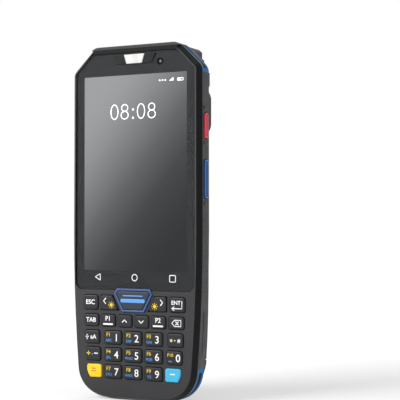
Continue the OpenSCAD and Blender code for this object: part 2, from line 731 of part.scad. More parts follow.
// Keypad. Each key: name, middle across, middle height, width, height, shape, colour
row_z = [first_row_z, first_row_z + row_pitch, first_row_z + 2*row_pitch,
         first_row_z + 3*row_pitch - 0.1, first_row_z + 4*row_pitch + 0.3];
function outer_x(i) = side_x(row_z[i]) - key_margin - outer_w/2;
function inner_half(i) = outer_x(i) - outer_w/2 - key_gap;
digit_w = (2*inner_half(0) - 2*key_gap)/3;
digit_x = digit_w + key_gap;
arrow_w = (2*inner_half(3) - 3*key_gap + 0.6)/4;
arrow_x = (arrow_w + key_gap - 0.2)/2;
scan_key_half = inner_half(4) - side_key_w - key_gap + 0.3;
scan_top_z = keypad_top + 0.9;
plain = "#3a3b3f";
function key_row(names, i, xs, w, h, c) =
    [for (j = [0:len(names) - 1]) [names[j], xs[j], row_z[i], w, h, "key", c]];
function outer_pair(a, b, i, h, shape, ca, cb) =
    [[a, -outer_x(i), row_z[i], outer_w, h, shape, ca], [b, outer_x(i), row_z[i], outer_w, h, shape, cb]];
KEYS = concat(
    outer_pair("key_esc", "key_enter", 4, top_key_h, "key", plain, plain),
    outer_pair("key_tab", "key_backspace", 3, arrow_h, "key", plain, plain),
    outer_pair("key_shift", "key_symbol", 2, digit_h, "key", plain, plain),
    outer_pair("key_sign", "key_0", 1, digit_h, "key", plain, plain),
    outer_pair("key_yellow", "key_blue", 0, digit_h, "corner", "#eab02c", "#39b4dd"),
    key_row(["key_p1", "key_up", "key_down", "key_p2"], 3,
            [-3*arrow_x, -arrow_x, arrow_x, 3*arrow_x], arrow_w, arrow_h, plain),
    key_row(["key_1", "key_2", "key_3"], 2, [-digit_x, 0, digit_x], digit_w, digit_h, plain),
    key_row(["key_4", "key_5", "key_6"], 1, [-digit_x, 0, digit_x], digit_w, digit_h, plain),
    key_row(["key_7", "key_8", "key_9"], 0, [-digit_x, 0, digit_x], digit_w, digit_h, plain),
    [["key_left", -1, row_z[4], side_key_w, top_key_h, "wing", plain],
     ["key_right", 1, row_z[4], side_key_w, top_key_h, "wing", plain]]);
key_r = 1.1;
// Outline of the frame round the scan key, drawn in by d
module scan_outline(d) polygon([
    [-scan_key_half + d*1.1, scan_top_z - 2.4], [-scan_key_half + 1.5 + d*0.6, scan_top_z - d],
    [scan_key_half - 1.5 - d*0.6, scan_top_z - d], [scan_key_half - d*1.1, scan_top_z - 2.4],
    [scan_key_half - scan_taper - d*0.7, scan_top_z - scan_h + d],
    [scan_taper - scan_key_half + d*0.7, scan_top_z - scan_h + d]]);
// Outline of a key, grown by g
module key_shape(k, g) {
    if (k[5] == "wing") {
        x1 = inner_half(4);
        z0 = k[2] - k[4]/2;
        z1 = k[2] + k[4]/2;
        slant = scan_taper/(scan_h - 2.4);
        x0 = x1 - k[3];
        scale([k[1], 1]) polygon([
            [x0 - slant*(z1 - z0) - g, z0 - g], [x1 + g, z0 - g], [x1 + g, z1 + g], [x0 - g, z1 + g]]);
    }
    if (k[5] == "key") translate([k[1], k[2]]) polygon(rounded(k[3] + 2*g, k[4] + 2*g, key_r + g));
    if (k[5] == "corner") intersection() {
        translate([k[1], k[2]]) polygon(rounded(k[3] + 2*g, k[4] + 2*g, key_r + g));
        polygon(outline(key_margin - g));
    }
}
module key(k) color(k[6]) {
    along_y(-key_rise, key_back) key_shape(k, 0);
    along_y(lip_y, key_back) key_shape(k, key_lip);
}
module key_scan() color("#26303f") {
    along_y(-scan_rise, key_back) scan_outline(trim_w + key_fit);
    along_y(lip_y + 0.15, key_back) scan_outline(trim_w - key_lip + 0.1);
}
module scan_key_trim() color("#4168c0") along_y(-key_rise, panel_t) difference() {
    scan_outline(0);
    scan_outline(trim_w);
}
module keypad_mat() color("#55575b") along_y(mat_y, key_board_y) keypad_area(0.3);
module keypad_board() color("#2f6b3c") along_y(key_board_y, display_back) keypad_area(0.3);

// Inside: metal mid frame, main board and its components
post_x = board_half - 3;
post_z = [board_z0 + 6, (board_z0 + frame_top)/2, frame_top - 8];
module posts(y0, y1, r) for (z = post_z) pair() rod_y(post_x, z, r, y0, y1);
module mid_frame() color("#a9adb2") difference() {
    union() {
        along_y(display_back, frame_back) below(frame_top) polygon(outline(4.2));
        posts(display_back, board_y, 1.9);
    }
    at_screws() rod_y(0, 0, boss_r + 0.2, 0, 20);
    posts(0, board_y + 1, 0.8);
}
module main_board() color("#1f5c3a") difference() {
    along_y(board_y, board_back) translate([0, (board_z0 + frame_top - 2)/2])
        polygon(rounded(2*board_half, frame_top - 2 - board_z0, 2));
    posts(0, 20, 0.9);
}
module board_components() color("#7d8085") {
    box([-12, board_back, strip_z0 + 2], [14, board_back + 1.9, strip_z0 + 24]);
    box([-24, board_back, board_z0 + 12], [-4, board_back + 1.6, board_z0 + 30]);
    box([2, board_back, board_z0 + 14], [22, board_back + 1.8, board_z0 + 40]);
    box([-22, board_back, strip_z0 - 34], [-6, board_back + 1.4, strip_z0 - 18]);
    box([-5, board_back, board_z0], [5, board_back + 1.2, board_z0 + 6]);
    for (z = [power_z, scan_z]) side_switch(z);
    for (z = [rocker_z - 5, rocker_z + 5, scan_z]) mirror([1, 0, 0]) side_switch(z);
}
module side_switch(z) box([board_half - 2, board_back, z - 2], [side_x0 - 1.7, board_back + 1.5, z + 2]);

seat() front_housing();
seat() touch_glass();
seat() display_module();
seat() acoustic_meshes();
seat() indicator_lens();
seat() front_camera();
seat() scan_key_trim();
seat() keypad_mat();
seat() keypad_board();
seat() mid_frame();
seat() main_board();
seat() board_components();
seat() scan_engine();
seat() scan_window();
seat() speaker();
seat() rear_camera();
seat() camera_bezel();
seat() camera_glass();
seat() power_key();
seat() right_scan_key();
seat() left_scan_key();
seat() volume_rocker();
seat() rear_housing();
seat() housing_gasket();
seat() top_bumpers();
seat() bottom_bumpers();
seat() bumper_inserts();
seat() battery_cover();
seat() battery_cell();
seat() gold_contacts();
seat() latch_slider();
seat() latch_indicator();
seat() rear_screws();
seat() usb_port();
seat() key_scan();
for (k = KEYS) seat() key(k);
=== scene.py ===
import math

import bmesh
import bpy
import numpy as np
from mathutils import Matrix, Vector


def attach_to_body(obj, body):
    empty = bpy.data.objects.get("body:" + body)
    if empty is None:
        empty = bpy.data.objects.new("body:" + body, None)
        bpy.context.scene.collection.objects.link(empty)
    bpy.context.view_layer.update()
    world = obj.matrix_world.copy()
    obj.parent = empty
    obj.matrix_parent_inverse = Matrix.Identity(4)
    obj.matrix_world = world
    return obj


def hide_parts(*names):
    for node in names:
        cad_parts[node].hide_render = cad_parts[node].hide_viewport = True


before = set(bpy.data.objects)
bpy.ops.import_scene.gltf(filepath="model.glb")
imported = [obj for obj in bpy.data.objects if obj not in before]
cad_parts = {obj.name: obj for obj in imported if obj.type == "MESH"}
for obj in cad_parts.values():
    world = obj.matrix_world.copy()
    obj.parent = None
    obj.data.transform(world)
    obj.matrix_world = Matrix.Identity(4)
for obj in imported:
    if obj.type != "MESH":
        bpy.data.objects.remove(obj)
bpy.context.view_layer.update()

# The camera: a long lens to the right of the terminal's front, level with its
# screen, so that the front and the right side both show.
CAMERA_PLACE = Vector((0.27314, -0.48634, 0.08369))
CAMERA_AZIMUTH, CAMERA_RISE = math.radians(26.622), math.radians(-1.248)
FOCAL_LENGTH, SENSOR_WIDTH = 103.23, 36.0
away = Vector((
    math.sin(CAMERA_AZIMUTH) * math.cos(CAMERA_RISE),
    -math.cos(CAMERA_AZIMUTH) * math.cos(CAMERA_RISE),
    math.sin(CAMERA_RISE),
))
camera_data = bpy.data.cameras.new("camera")
camera_data.sensor_width, camera_data.lens = SENSOR_WIDTH, FOCAL_LENGTH
camera_data.clip_start, camera_data.clip_end = 0.01, 50.0
camera = bpy.data.objects.new("camera", camera_data)
camera.location = CAMERA_PLACE
camera.rotation_euler = away.to_track_quat("Z", "Y").to_euler()
bpy.context.scene.collection.objects.link(camera)
bpy.context.scene.camera = camera
bpy.context.scene.view_settings.view_transform = "Standard"


# The studio: three soft boxes and a pale room. The white that the lens, the gloss
# and the glass see is a strength of 1, and the object is lit at a plain level.
LAMP_TARGET = Vector((0, 0, 0.085))
LIT_STRENGTH, SEEN_STRENGTH = 0.4, 1.0


def soft_box(name, place, width, power, mirrored=True):
    """A square lamp of the given width at a place, turned to face the middle of the terminal. Gloss doesn't
    show it unless it is mirrored."""
    data = bpy.data.lights.new(name, "AREA")
    data.size, data.energy = width, power
    lamp = bpy.data.objects.new(name, data)
    lamp.location = place
    lamp.visible_glossy = mirrored
    lamp.rotation_euler = (Vector(place) - LAMP_TARGET).to_track_quat("Z", "Y").to_euler()
    bpy.context.scene.collection.objects.link(lamp)


soft_box("key_box", (-0.75, -0.95, 0.80), 0.8, 19.0)
soft_box("side_box", (1.10, -0.25, 0.45), 0.7, 0.3)
soft_box("back_box", (-0.3, 1.15, 0.75), 0.8, 26.0, mirrored=False)


def add(tree, kind, settings=None, **sockets):
    """Adds a shader node. settings are its own fields, sockets its inputs by name or as i0, i1."""
    made = tree.nodes.new("ShaderNode" + kind)
    for field, value in (settings or {}).items():
        setattr(made, field, value)
    for key, value in sockets.items():
        numbered = key[0] == "i" and key[1:].isdigit()
        socket = made.inputs[int(key[1:])] if numbered else made.inputs[key.replace("_", " ")]
        if isinstance(value, bpy.types.NodeSocket):
            tree.links.new(value, socket)
        else:
            socket.default_value = value
    return made


def maths(tree, operation, *values):
    """The result of arithmetic on up to three numbers."""
    numbered = {f"i{place}": value for place, value in enumerate(values)}
    return add(tree, "Math", {"operation": operation}, **numbered).outputs[0]


def seen_directly(tree):
    """1 for rays from the lens and for rays that gloss or clear glass send on, else 0."""
    path = add(tree, "LightPath").outputs
    return maths(tree, "MAXIMUM", maths(tree, "MAXIMUM", path["Is Camera Ray"], path["Is Glossy Ray"]),
                 path["Is Transmission Ray"])


world = bpy.data.worlds.new("pale_room")
bpy.context.scene.world = world
world.use_nodes = True
room = world.node_tree
room.nodes.clear()
room_light = add(room, "Background", Color=(1, 1, 1, 1), Strength=LIT_STRENGTH)
room_white = add(room, "Background", Color=(1, 1, 1, 1), Strength=SEEN_STRENGTH)
room_mix = add(room, "MixShader", i0=seen_directly(room),
               i1=room_light.outputs[0], i2=room_white.outputs[0])
room.links.new(room_mix.outputs[0], add(room, "OutputWorld").inputs["Surface"])


def make_mesh(name, points, faces, material=None, smooth=True):
    """An object at the origin from an array of points in metres and a list of faces."""
    mesh = bpy.data.meshes.new(name)
    mesh.from_pydata(points, [], faces)
    mesh.validate()
    mesh.shade_smooth() if smooth else mesh.shade_flat()
    made = bpy.data.objects.new(name, mesh)
    bpy.context.scene.collection.objects.link(made)
    if material:
        mesh.materials.append(material)
    return made


def new_material(name):
    """An empty node material: the material, its tree, its object coordinates, and a function that gives it
    a shader, or a principled one with the given inputs."""
    material = bpy.data.materials.new(name)
    material.use_nodes = True
    tree = material.node_tree
    tree.nodes.clear()
    place = add(tree, "TexCoord").outputs["Object"]

    def finish(shader=None, **sockets):
        shader = shader or add(tree, "BsdfPrincipled", **sockets)
        tree.links.new(shader.outputs[0], add(tree, "OutputMaterial").inputs["Surface"])
    return material, tree, place, finish


def noise(tree, place, scale, detail, **more):
    """The value, about 0.3 to 0.7, of a noise with the given cells to a metre."""
    return add(tree, "TexNoise", Vector=place, Scale=scale, Detail=detail, **more).outputs["Fac"]


def spread(tree, value, low, high, start=0.35, end=0.65, smooth=False):
    """Maps a value from start and end, by default the middle of a noise, to low and high."""
    kind = {"interpolation_type": "SMOOTHSTEP"} if smooth else {}
    return add(tree, "MapRange", kind, Value=value, From_Min=start, From_Max=end,
               To_Min=low, To_Max=high).outputs[0]


def circle(x, z, radius, count=32, height=None):
    """Points round a circle, or round an oval whose half height is given."""
    turn = np.linspace(0, 2 * math.pi, count, endpoint=False)
    height = radius if height is None else height
    return np.stack([x + radius * np.cos(turn), z + height * np.sin(turn)], -1)


FLOOR_RADIUS, FLOOR_CORNERS, SHADOW_ZONE, FLOOR_WHITE = 6.0, 64, (0.16, 0.75), 0.45
floor_material, tree, place, finish = new_material("pale_floor")
far = add(tree, "VectorMath", {"operation": "LENGTH"}, i0=place).outputs["Value"]
fade = spread(tree, far, 0, 1, *SHADOW_ZONE, smooth=True)
paper = spread(tree, noise(tree, place, 35.0, 4.0), 0.86, 0.9, 0, 1)
lit = add(tree, "BsdfDiffuse", Color=(0.9, 0.9, 0.9, 1), Roughness=paper)
white = add(tree, "Emission", Color=(1, 1, 1, 1), Strength=SEEN_STRENGTH)
share = maths(tree, "MULTIPLY", spread(tree, fade, FLOOR_WHITE, 1, 0, 1), seen_directly(tree))
finish(add(tree, "MixShader", i0=share, i1=lit.outputs[0], i2=white.outputs[0]))
ring = np.pad(circle(0, 0, FLOOR_RADIUS, FLOOR_CORNERS), ((0, 0), (0, 1)))
floor = make_mesh("floor", ring, [list(range(FLOOR_CORNERS))], floor_material)


# The rear housing: polycarbonate and ABS over the back and the side bands, moulded
# with an eroded grain. It carries every other part; its own edges are softened.
FRONT_FACE = 12.05  # from the front face to the middle of the depth, mm


def place_mm(x, y, z):
    """Points from mm across, behind the front face and up, to metres in the frame."""
    x, y, z = np.broadcast_arrays(x, y, z)
    return np.stack([x, y - FRONT_FACE, z], -1) * 0.001


def paint(red, green, blue):
    """A colour as a paint chart gives it, 0 to 255, made linear with alpha 1."""
    share = np.array([red, green, blue]) / 255.0
    linear = np.where(share > 0.04045, ((share + 0.055) / 1.055) ** 2.4, share / 12.92)
    return (*linear.tolist(), 1.0)


def shaded(colour, factor, lift=0.0):
    """A colour times a factor, plus a lift, and no more than white."""
    return (*(min(1, part * factor + lift) for part in colour[:3]), 1.0)


def mix(tree, share, a, b):
    """The mix of two colours."""
    return add(tree, "Mix", {"data_type": "RGBA"}, i0=share, i6=a, i7=b).outputs[2]


CLOUD_SCALE, SMEAR_SCALE, PATCH_SCALE, EDGE_REACH = 55.0, 140.0, 160.0, 0.0006


def rubbed_edges(tree, place, strength):
    """0 on flats, up to strength on edges within reach, broken up by a noise as handling does."""
    bent = add(tree, "Bevel", {"samples": 4}, Radius=EDGE_REACH).outputs[0]
    true = add(tree, "NewGeometry").outputs["Normal"]
    same = add(tree, "VectorMath", {"operation": "DOT_PRODUCT"}, i0=bent, i1=true).outputs["Value"]
    edge = spread(tree, same, 0, 1, 0.995, 0.86)
    broken = spread(tree, noise(tree, place, PATCH_SCALE, 3.0), 0.25, 1.0, 0.4, 0.6)
    return maths(tree, "MULTIPLY", maths(tree, "MULTIPLY", edge, broken), strength)


def moulded(name, colour, grain, relief, gloss, rub=0.0, shine=0.5, cloud=0.08, metal=0.0, coat=0.0):
    """Moulded plastic: colour clouds, an eroded grain of the given size and relief in mm, roughness that
    wanders between the two values of gloss with smears, and paler, smoother edges where hands rub it."""
    material, tree, place, finish = new_material(name)
    clouds = noise(tree, place, CLOUD_SCALE, 4.0, Roughness=0.6)
    body = mix(tree, spread(tree, clouds, 0, 1), shaded(colour, 1 - cloud), shaded(colour, 1 + cloud))
    specks = noise(tree, place, 1000.0 / grain, 2.0)
    body = mix(tree, spread(tree, specks, 0, 0.10), body, (0, 0, 0, 1))
    rough = spread(tree, noise(tree, place, SMEAR_SCALE, 5.0, Distortion=0.7), *gloss)
    if rub:
        worn = rubbed_edges(tree, place, rub)
        body = mix(tree, worn, body, shaded(colour, 1.7, 0.02))
        rough = maths(tree, "SUBTRACT", rough, maths(tree, "MULTIPLY", worn, 0.3))
    bump = add(tree, "Bump", Height=specks, Distance=relief * 0.001, Strength=0.8)
    finish(Base_Color=body, Roughness=rough, Normal=bump.outputs[0], Specular_IOR_Level=shine,
           Metallic=metal, Coat_Weight=coat, Coat_Roughness=0.08)
    return material


def finish_node(node, material):
    """Gives a CAD node a material."""
    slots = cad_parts[node].data.materials
    slots.clear()
    slots.append(material)


def read(items, field, width=1, kind=float):
    """A field of a mesh's items as an array, with a row for each item where it is wider than one."""
    values = np.empty(len(items) * width, kind)
    items.foreach_get(field, values)
    return values.reshape(-1, width) if width > 1 else values


FOLDED_AREA, FOLDED_SHARE = 2e-7, 0.1


def folded_over(made):
    """The places, in metres, where a piece's rounded edges overlap: the corners of faces of which more than
    a tenth, and 0.2 square mm, is filled by triangles that point against the face."""
    ready = made.evaluated_get(bpy.context.evaluated_depsgraph_get())
    mesh = ready.to_mesh()
    mesh.calc_loop_triangles()
    owner = read(mesh.loop_triangles, "polygon_index", 1, np.int32)
    p = read(mesh.vertices, "co", 3)[read(mesh.loop_triangles, "vertices", 3, np.int32)]
    area = np.cross(p[:, 1] - p[:, 0], p[:, 2] - p[:, 0]) / 2
    whole = np.stack([np.bincount(owner, area[:, axis], len(mesh.polygons)) for axis in range(3)], 1)
    size = np.linalg.norm(whole, axis=1)
    along = (area * whole[owner]).sum(1) / np.maximum(size[owner], 1e-15)
    against = np.bincount(owner, np.maximum(-along, 0), len(mesh.polygons))
    places = p[((against > FOLDED_AREA) & (against > FOLDED_SHARE * size))[owner]].reshape(-1, 3)
    ready.to_mesh_clear()
    return places


def attach(made, body, slot, replaces=()):
    """Rides a piece on a body and hides the CAD nodes that it stands for. Its slot is not used."""
    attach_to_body(made, body)
    if replaces:
        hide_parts(*replaces)


WELD, FLAT_ANGLE, FOLD_ANGLE, FOLD_WIDTHS = 2e-6, math.radians(0.4), math.radians(33), 2.2


def softened(name, node, body, slot, material, width=0.16, least=0.4, cuts=()):
    """A copy of a CAD node with its doubles merged and flat faces joined. Edges that fold enough, between
    edges longer than least, get a round of the given width, both in mm. cuts are planes, each a (place,
    normal) in metres, along which its faces are parted for a second finish."""
    work = bmesh.new()
    work.from_mesh(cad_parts[node].data)
    bmesh.ops.remove_doubles(work, verts=work.verts, dist=WELD)
    bmesh.ops.dissolve_limit(work, angle_limit=FLAT_ANGLE, verts=work.verts, edges=work.edges)
    for place, normal in cuts:
        bmesh.ops.bisect_plane(work, geom=work.verts[:] + work.edges[:] + work.faces[:], dist=1e-7,
                               plane_co=place, plane_no=normal)
    weight = work.edges.layers.float.new("bevel_weight_edge")
    for edge in work.edges:
        bent = edge.is_manifold and edge.calc_face_angle(0) > FOLD_ANGLE
        near = [e for v in edge.verts for e in v.link_edges]
        if bent and min(e.calc_length() for e in near) > least * 0.001:
            edge[weight] = 1.0
    mesh = bpy.data.meshes.new(name)
    work.to_mesh(mesh)
    work.free()
    made = bpy.data.objects.new(name, mesh)
    bpy.context.scene.collection.objects.link(made)
    mesh.materials.append(material)
    mesh.shade_smooth()
    mesh.set_sharp_from_angle(angle=FOLD_ANGLE)
    edge_round = made.modifiers.new("edge_round", "BEVEL")
    edge_round.limit_method, edge_round.width, edge_round.segments = "WEIGHT", width * 0.001, 2
    edge_round.use_clamp_overlap = False
    flats = made.modifiers.new("flats", "WEIGHTED_NORMAL")
    flats.keep_sharp, flats.weight = True, 80
    for _ in range(3):
        bpy.context.view_layer.update()
        places = folded_over(made)
        if not len(places):
            break
        away = read(mesh.vertices, "co", 3)[:, None] - np.unique(places.round(6), axis=0)[None]
        sharp = np.linalg.norm(away, axis=2).min(1) < FOLD_WIDTHS * width * 0.001
        kept = mesh.attributes["bevel_weight_edge"].data
        amount = read(kept, "value")
        amount[sharp[read(mesh.edges, "vertices", 2, np.int32)].any(1)] = 0
        kept.foreach_set("value", amount)
    attach(made, body, slot, [node])
    return made


rear_plastic = moulded("rear_plastic", paint(72, 73, 75), 0.4, 0.03, (0.46, 0.6), rub=0.35, shine=0.12)
softened("rear_shell", "rear_housing", "housing", "rear_shell", rear_plastic)


# The plate in the head's recess: a film of grey polyester on the plastic, left
# bare, with a printed frame line near its edge.
def round_off(corners, radius, steps=5):
    """A convex polygon whose corners become arcs: each arc touches both sides at radius times the
    tangent of half the turn from the corner, and its points turn evenly between the sides' normals."""
    p = np.asarray(corners, float)
    before, after = p - np.roll(p, 1, 0), np.roll(p, -1, 0) - p
    a = before / np.linalg.norm(before, axis=1, keepdims=True)
    b = after / np.linalg.norm(after, axis=1, keepdims=True)
    turn = np.arctan2(a[:, 0] * b[:, 1] - a[:, 1] * b[:, 0], (a * b).sum(1))
    radius = np.broadcast_to(radius, len(p))
    inwards = np.stack([-a[:, 1], a[:, 0]], -1)
    centre = p - a * (radius * np.tan(turn / 2))[:, None] + inwards * radius[:, None]
    start = np.arctan2(-a[:, 0], a[:, 1])
    angle = start[:, None] + turn[:, None] * np.linspace(0, 1, steps + 1)[None, :]
    arcs = centre[:, None, :] + radius[:, None, None] * np.stack([np.cos(angle), np.sin(angle)], -1)
    return arcs.reshape(-1, 2)


def rounded(width, height, radius, steps=6, x=0.0, z=0.0):
    """Points round a rectangle about a middle, whose corners are arcs of steps + 1 points each."""
    corners = np.array([[1, 1], [-1, 1], [-1, -1], [1, -1]]) * [width / 2, height / 2] + [x, z]
    return round_off(corners, min(radius, width / 2 - 1e-3, height / 2 - 1e-3), steps)


def drawn_in(outline, by):
    """An outline, counter-clockwise, whose points move inwards along the mitre of their two sides."""
    side = np.roll(outline, -1, 0) - outline
    normal = np.stack([-side[:, 1], side[:, 0]], -1) / np.linalg.norm(side, axis=1, keepdims=True)
    before = np.roll(normal, 1, 0)
    mitre = (normal + before) / np.maximum(1 + (normal * before).sum(1, keepdims=True), 0.3)
    return outline + mitre * by


def on_front(y):
    """Lays across, up and height onto the front, at a depth behind the front face."""
    return lambda a, b, h: place_mm(a, y - h, b)


def on_back(y):
    """Lays across, up and height onto the back. y is a depth, or a depth for each place across."""
    return lambda a, b, h: place_mm(a, (y(a) if callable(y) else y) + h, b)


def on_side(x):
    """Lays depth, up and height onto a side band, right for a positive x and left for a negative one."""
    return lambda a, b, h: place_mm(x + math.copysign(1, x) * h, a, b)


def ring_faces(rings, count):
    """Quads that join a number of closed rings of points, each ring of count points, to the next."""
    r, c = np.meshgrid(np.arange(rings - 1) * count, np.arange(count), indexing="ij")
    n = (c + 1) % count
    return np.stack([r + c, r + n, r + count + n, r + count + c], -1).reshape(-1, 4).tolist()


def capped(rings):
    """Rings of points, each joined to the next, with a flat face at each end: (points, faces)."""
    count, points = len(rings[0]), np.concatenate(rings)
    ends = [list(range(count))[::-1], list(range(len(points) - count, len(points)))]
    return points, ring_faces(len(rings), count) + ends


def raised(outline, levels, lay, corner=0.0):
    """A closed form over an outline: one ring for each (inset, height), and a flat face at each end. With a
    corner, each ring's own corners are rounded, less the further in it is."""
    rings = []
    for inset, height in levels:
        ring = drawn_in(np.asarray(outline, float), inset)
        if corner:
            ring = round_off(ring, max(corner - inset, 0.15))
        rings.append(np.column_stack([ring, np.full(len(ring), float(height))]))
    points, faces = capped(rings)
    return lay(*points.T), faces


def joined(shapes):
    """Several (points, faces) as one."""
    points, faces, start = [], [], 0
    for more, some in shapes:
        points.append(more)
        faces += [[start + v for v in face] for face in some]
        start += len(more)
    return np.concatenate(points), faces


def outwards(made, weld=0.0):
    """Turns the faces of closed shapes outwards, after points within weld metres are merged."""
    work = bmesh.new()
    work.from_mesh(made.data)
    if weld:
        bmesh.ops.remove_doubles(work, verts=work.verts, dist=weld)
    bmesh.ops.recalc_face_normals(work, faces=work.faces)
    work.to_mesh(made.data)
    work.free()


def part(name, shapes, material, body, slot, replaces=(), fold=35):
    """A piece of closed shapes that rides on a body, with its creases kept sharp past fold degrees."""
    made = make_mesh(name, *joined(shapes), material)
    outwards(made)
    made.data.set_sharp_from_angle(angle=math.radians(fold))
    attach(made, body, slot, replaces)
    return made


def stroke(path, width, lay, height=0.04, sink=0.03, closed=False):
    """Ink along a path of (across, up) points: a ribbon of the given width, each side half a width along
    the path's normal, from sink below the surface to height above it."""
    p = np.asarray(path, float)
    if closed:
        ahead, behind = np.roll(p, -1, 0), np.roll(p, 1, 0)
    else:
        ahead, behind = np.vstack([p[1:], p[-1:]]), np.vstack([p[:1], p[:-1]])
    run = ahead - behind
    normal = np.stack([-run[:, 1], run[:, 0]], -1) / np.linalg.norm(run, axis=1, keepdims=True)
    left, right = p + normal * width / 2, p - normal * width / 2
    low, high = np.full((len(p), 1), -sink), np.full((len(p), 1), height)
    ring = np.stack([np.hstack([left, low]), np.hstack([left, high]),
                     np.hstack([right, high]), np.hstack([right, low])], 1)
    if closed:
        ring = np.concatenate([ring, ring[:1]])
    faces, count = ring_faces(len(ring), 4), len(ring) * 4
    if not closed:
        faces += [[0, 1, 2, 3], [count - 1, count - 2, count - 3, count - 4]]
    return lay(*ring.reshape(-1, 3).T), faces


label_film = moulded("label_film", paint(72, 73, 75), 0.15, 0.004, (0.3, 0.42))
film_print = moulded("film_print", paint(104, 105, 108), 0.15, 0.004, (0.3, 0.42))
LABEL_MIDDLE, LABEL_FLOOR = 162.2, 23.3
part("bare_label", [raised(rounded(34.2, 8.8, 0.9, z=LABEL_MIDDLE),
                           [(0, -0.02), (0, 0.10), (0.08, 0.16), (0.3, 0.18)], on_back(LABEL_FLOOR))],
     label_film, "housing", "rear_shell")
label_frame = rounded(32.4, 7.2, 0.7, z=LABEL_MIDDLE)
part("label_line", [stroke(label_frame, 0.25, on_back(LABEL_FLOOR + 0.18), closed=True)],
     film_print, "housing", "rear_shell")


# Pad-printed marks on the back: an arrow that shows where a strap's tongue goes,
# and a reader's chip between its waves.
CROWN_Y, CROWN_DROP, CROWN_HALF = 23.0, 0.6, 26.7


def back_crown(x):
    """The back's depth over a place across: an arc that falls by the drop from the middle to the half."""
    radius = (CROWN_HALF ** 2 + CROWN_DROP ** 2) / (2 * CROWN_DROP)
    return CROWN_Y - radius + np.sqrt(radius ** 2 - np.asarray(x) ** 2)


BACK_SKIN = on_back(back_crown)
dark_ink = moulded("dark_ink", paint(30, 31, 33), 0.1, 0.003, (0.35, 0.5))
CHIP_Z, MARK_HEIGHT = 129.7, 0.05
marks = [raised([[0, 149.9], [1.5, 152.1], [-1.5, 152.1]], [(0, -0.03), (0, MARK_HEIGHT)], BACK_SKIN)]
for reach in (6.6, 8.6):
    bow = np.radians(np.linspace(-24, 24, 13))
    arc = np.stack([reach - 8 + 8 * np.cos(bow), CHIP_Z + 8.5 * np.sin(bow)], -1)
    marks += [stroke(arc * [side, 1], 0.45, BACK_SKIN, MARK_HEIGHT) for side in (1, -1)]
marks.append(stroke(rounded(5.2, 6.0, 0.8, z=CHIP_Z), 0.4, BACK_SKIN, MARK_HEIGHT, closed=True))
for level in (-1.7, 0, 1.7):
    marks.append(stroke([[-2.5, CHIP_Z + level], [2.5, CHIP_Z + level]], 0.34, BACK_SKIN, MARK_HEIGHT))
for side in (-0.9, 0.9):
    marks.append(stroke([[side, CHIP_Z - 2.8], [side, CHIP_Z + 2.8]], 0.34, BACK_SKIN, MARK_HEIGHT + 0.005))
part("back_marks", marks, dark_ink, "housing", "rear_shell")


# The inside: a cast magnesium frame, the main board with its shields, the keypad's
# board and mat, the scan engine and the loudspeaker, screwed or clipped in place.
def cast_metal(name, colour, gloss):
    """Cast or stamped metal: dull, with cloudy colour and a fine cast skin."""
    return moulded(name, colour, 0.5, 0.02, gloss, cloud=0.15, metal=1.0)


def board(name, colour, pitch):
    """A printed board: solder mask over copper tracks, which a brick pattern of the pitch in mm stands for,
    with lighter pads where a noise rises."""
    material, tree, place, finish = new_material(name)
    upright = add(tree, "Mapping", Vector=place, Rotation=(math.radians(90), 0, 0)).outputs[0]
    tracks = add(tree, "TexBrick", Vector=upright, Scale=1000.0 / pitch, Mortar_Size=0.06,
                 Color1=colour, Color2=shaded(colour, 0.8), Mortar=shaded(colour, 1.6))
    pads = add(tree, "TexVoronoi", Vector=place, Scale=420.0)
    spot = spread(tree, pads.outputs["Distance"], 0, 1, 0.16, 0.12)
    body = mix(tree, spot, tracks.outputs["Color"], paint(196, 178, 128))
    bump = add(tree, "Bump", Height=tracks.outputs["Fac"], Distance=0.00003, Strength=0.5)
    finish(Base_Color=body, Roughness=spread(tree, spot, 0.35, 0.22, 0, 1), Normal=bump.outputs[0])
    return material


magnesium = cast_metal("magnesium", paint(150, 152, 155), (0.4, 0.55))
shield_metal = cast_metal("shield_metal", paint(190, 192, 195), (0.25, 0.35))
inner_black = moulded("inner_black", paint(34, 35, 37), 0.3, 0.01, (0.4, 0.55))
green_board = board("green_board", paint(28, 84, 58), 3.2)
dark_rubber = moulded("dark_rubber", paint(50, 51, 54), 0.6, 0.02, (0.6, 0.75), rub=0.1)
for node, material in (("mid_frame", magnesium), ("main_board", green_board), ("keypad_board", green_board),
                       ("board_components", shield_metal), ("scan_engine", inner_black),
                       ("speaker", inner_black), ("rear_camera", inner_black),
                       ("keypad_mat", dark_rubber), ("housing_gasket", dark_rubber)):
    finish_node(node, material)


# The front housing: black polycarbonate, satin on the keypad's face and the brow,
# glossy on the slope that runs round to the sides. Screws from behind hold it.
front_plastic = moulded("front_plastic", paint(50, 50, 52), 0.4, 0.02, (0.42, 0.55), rub=0.2, shine=0.3)
slope_plastic = moulded("slope_plastic", paint(12, 12, 13), 0.3, 0.008, (0.28, 0.4), rub=0.1, shine=0.1)
RIM_TOP, RIM_CHAMFER = 166.45, 190.5
rim_cuts = [((0, 0, height * 0.001), (lean, 0, 1))
            for height, lean in ((RIM_TOP, 0), (RIM_CHAMFER, 1), (RIM_CHAMFER, -1))]
front_shell = softened("front_shell", "front_housing", "housing", "front_shell", front_plastic, cuts=rim_cuts)


def second_finish(made, material, chosen):
    """Gives a second material to the faces whose normal and middle, in mm, the test picks."""
    made.data.materials.append(material)
    faces = made.data.polygons
    middle = read(faces, "center", 3) * 1000 + [0, FRONT_FACE, 0]
    faces.foreach_set("material_index", chosen(read(faces, "normal", 3), middle).astype(np.int32))


BAND_HALF, BAND_STRAIGHT, BAND_DRAW = 35.0, 80.0, 4.1


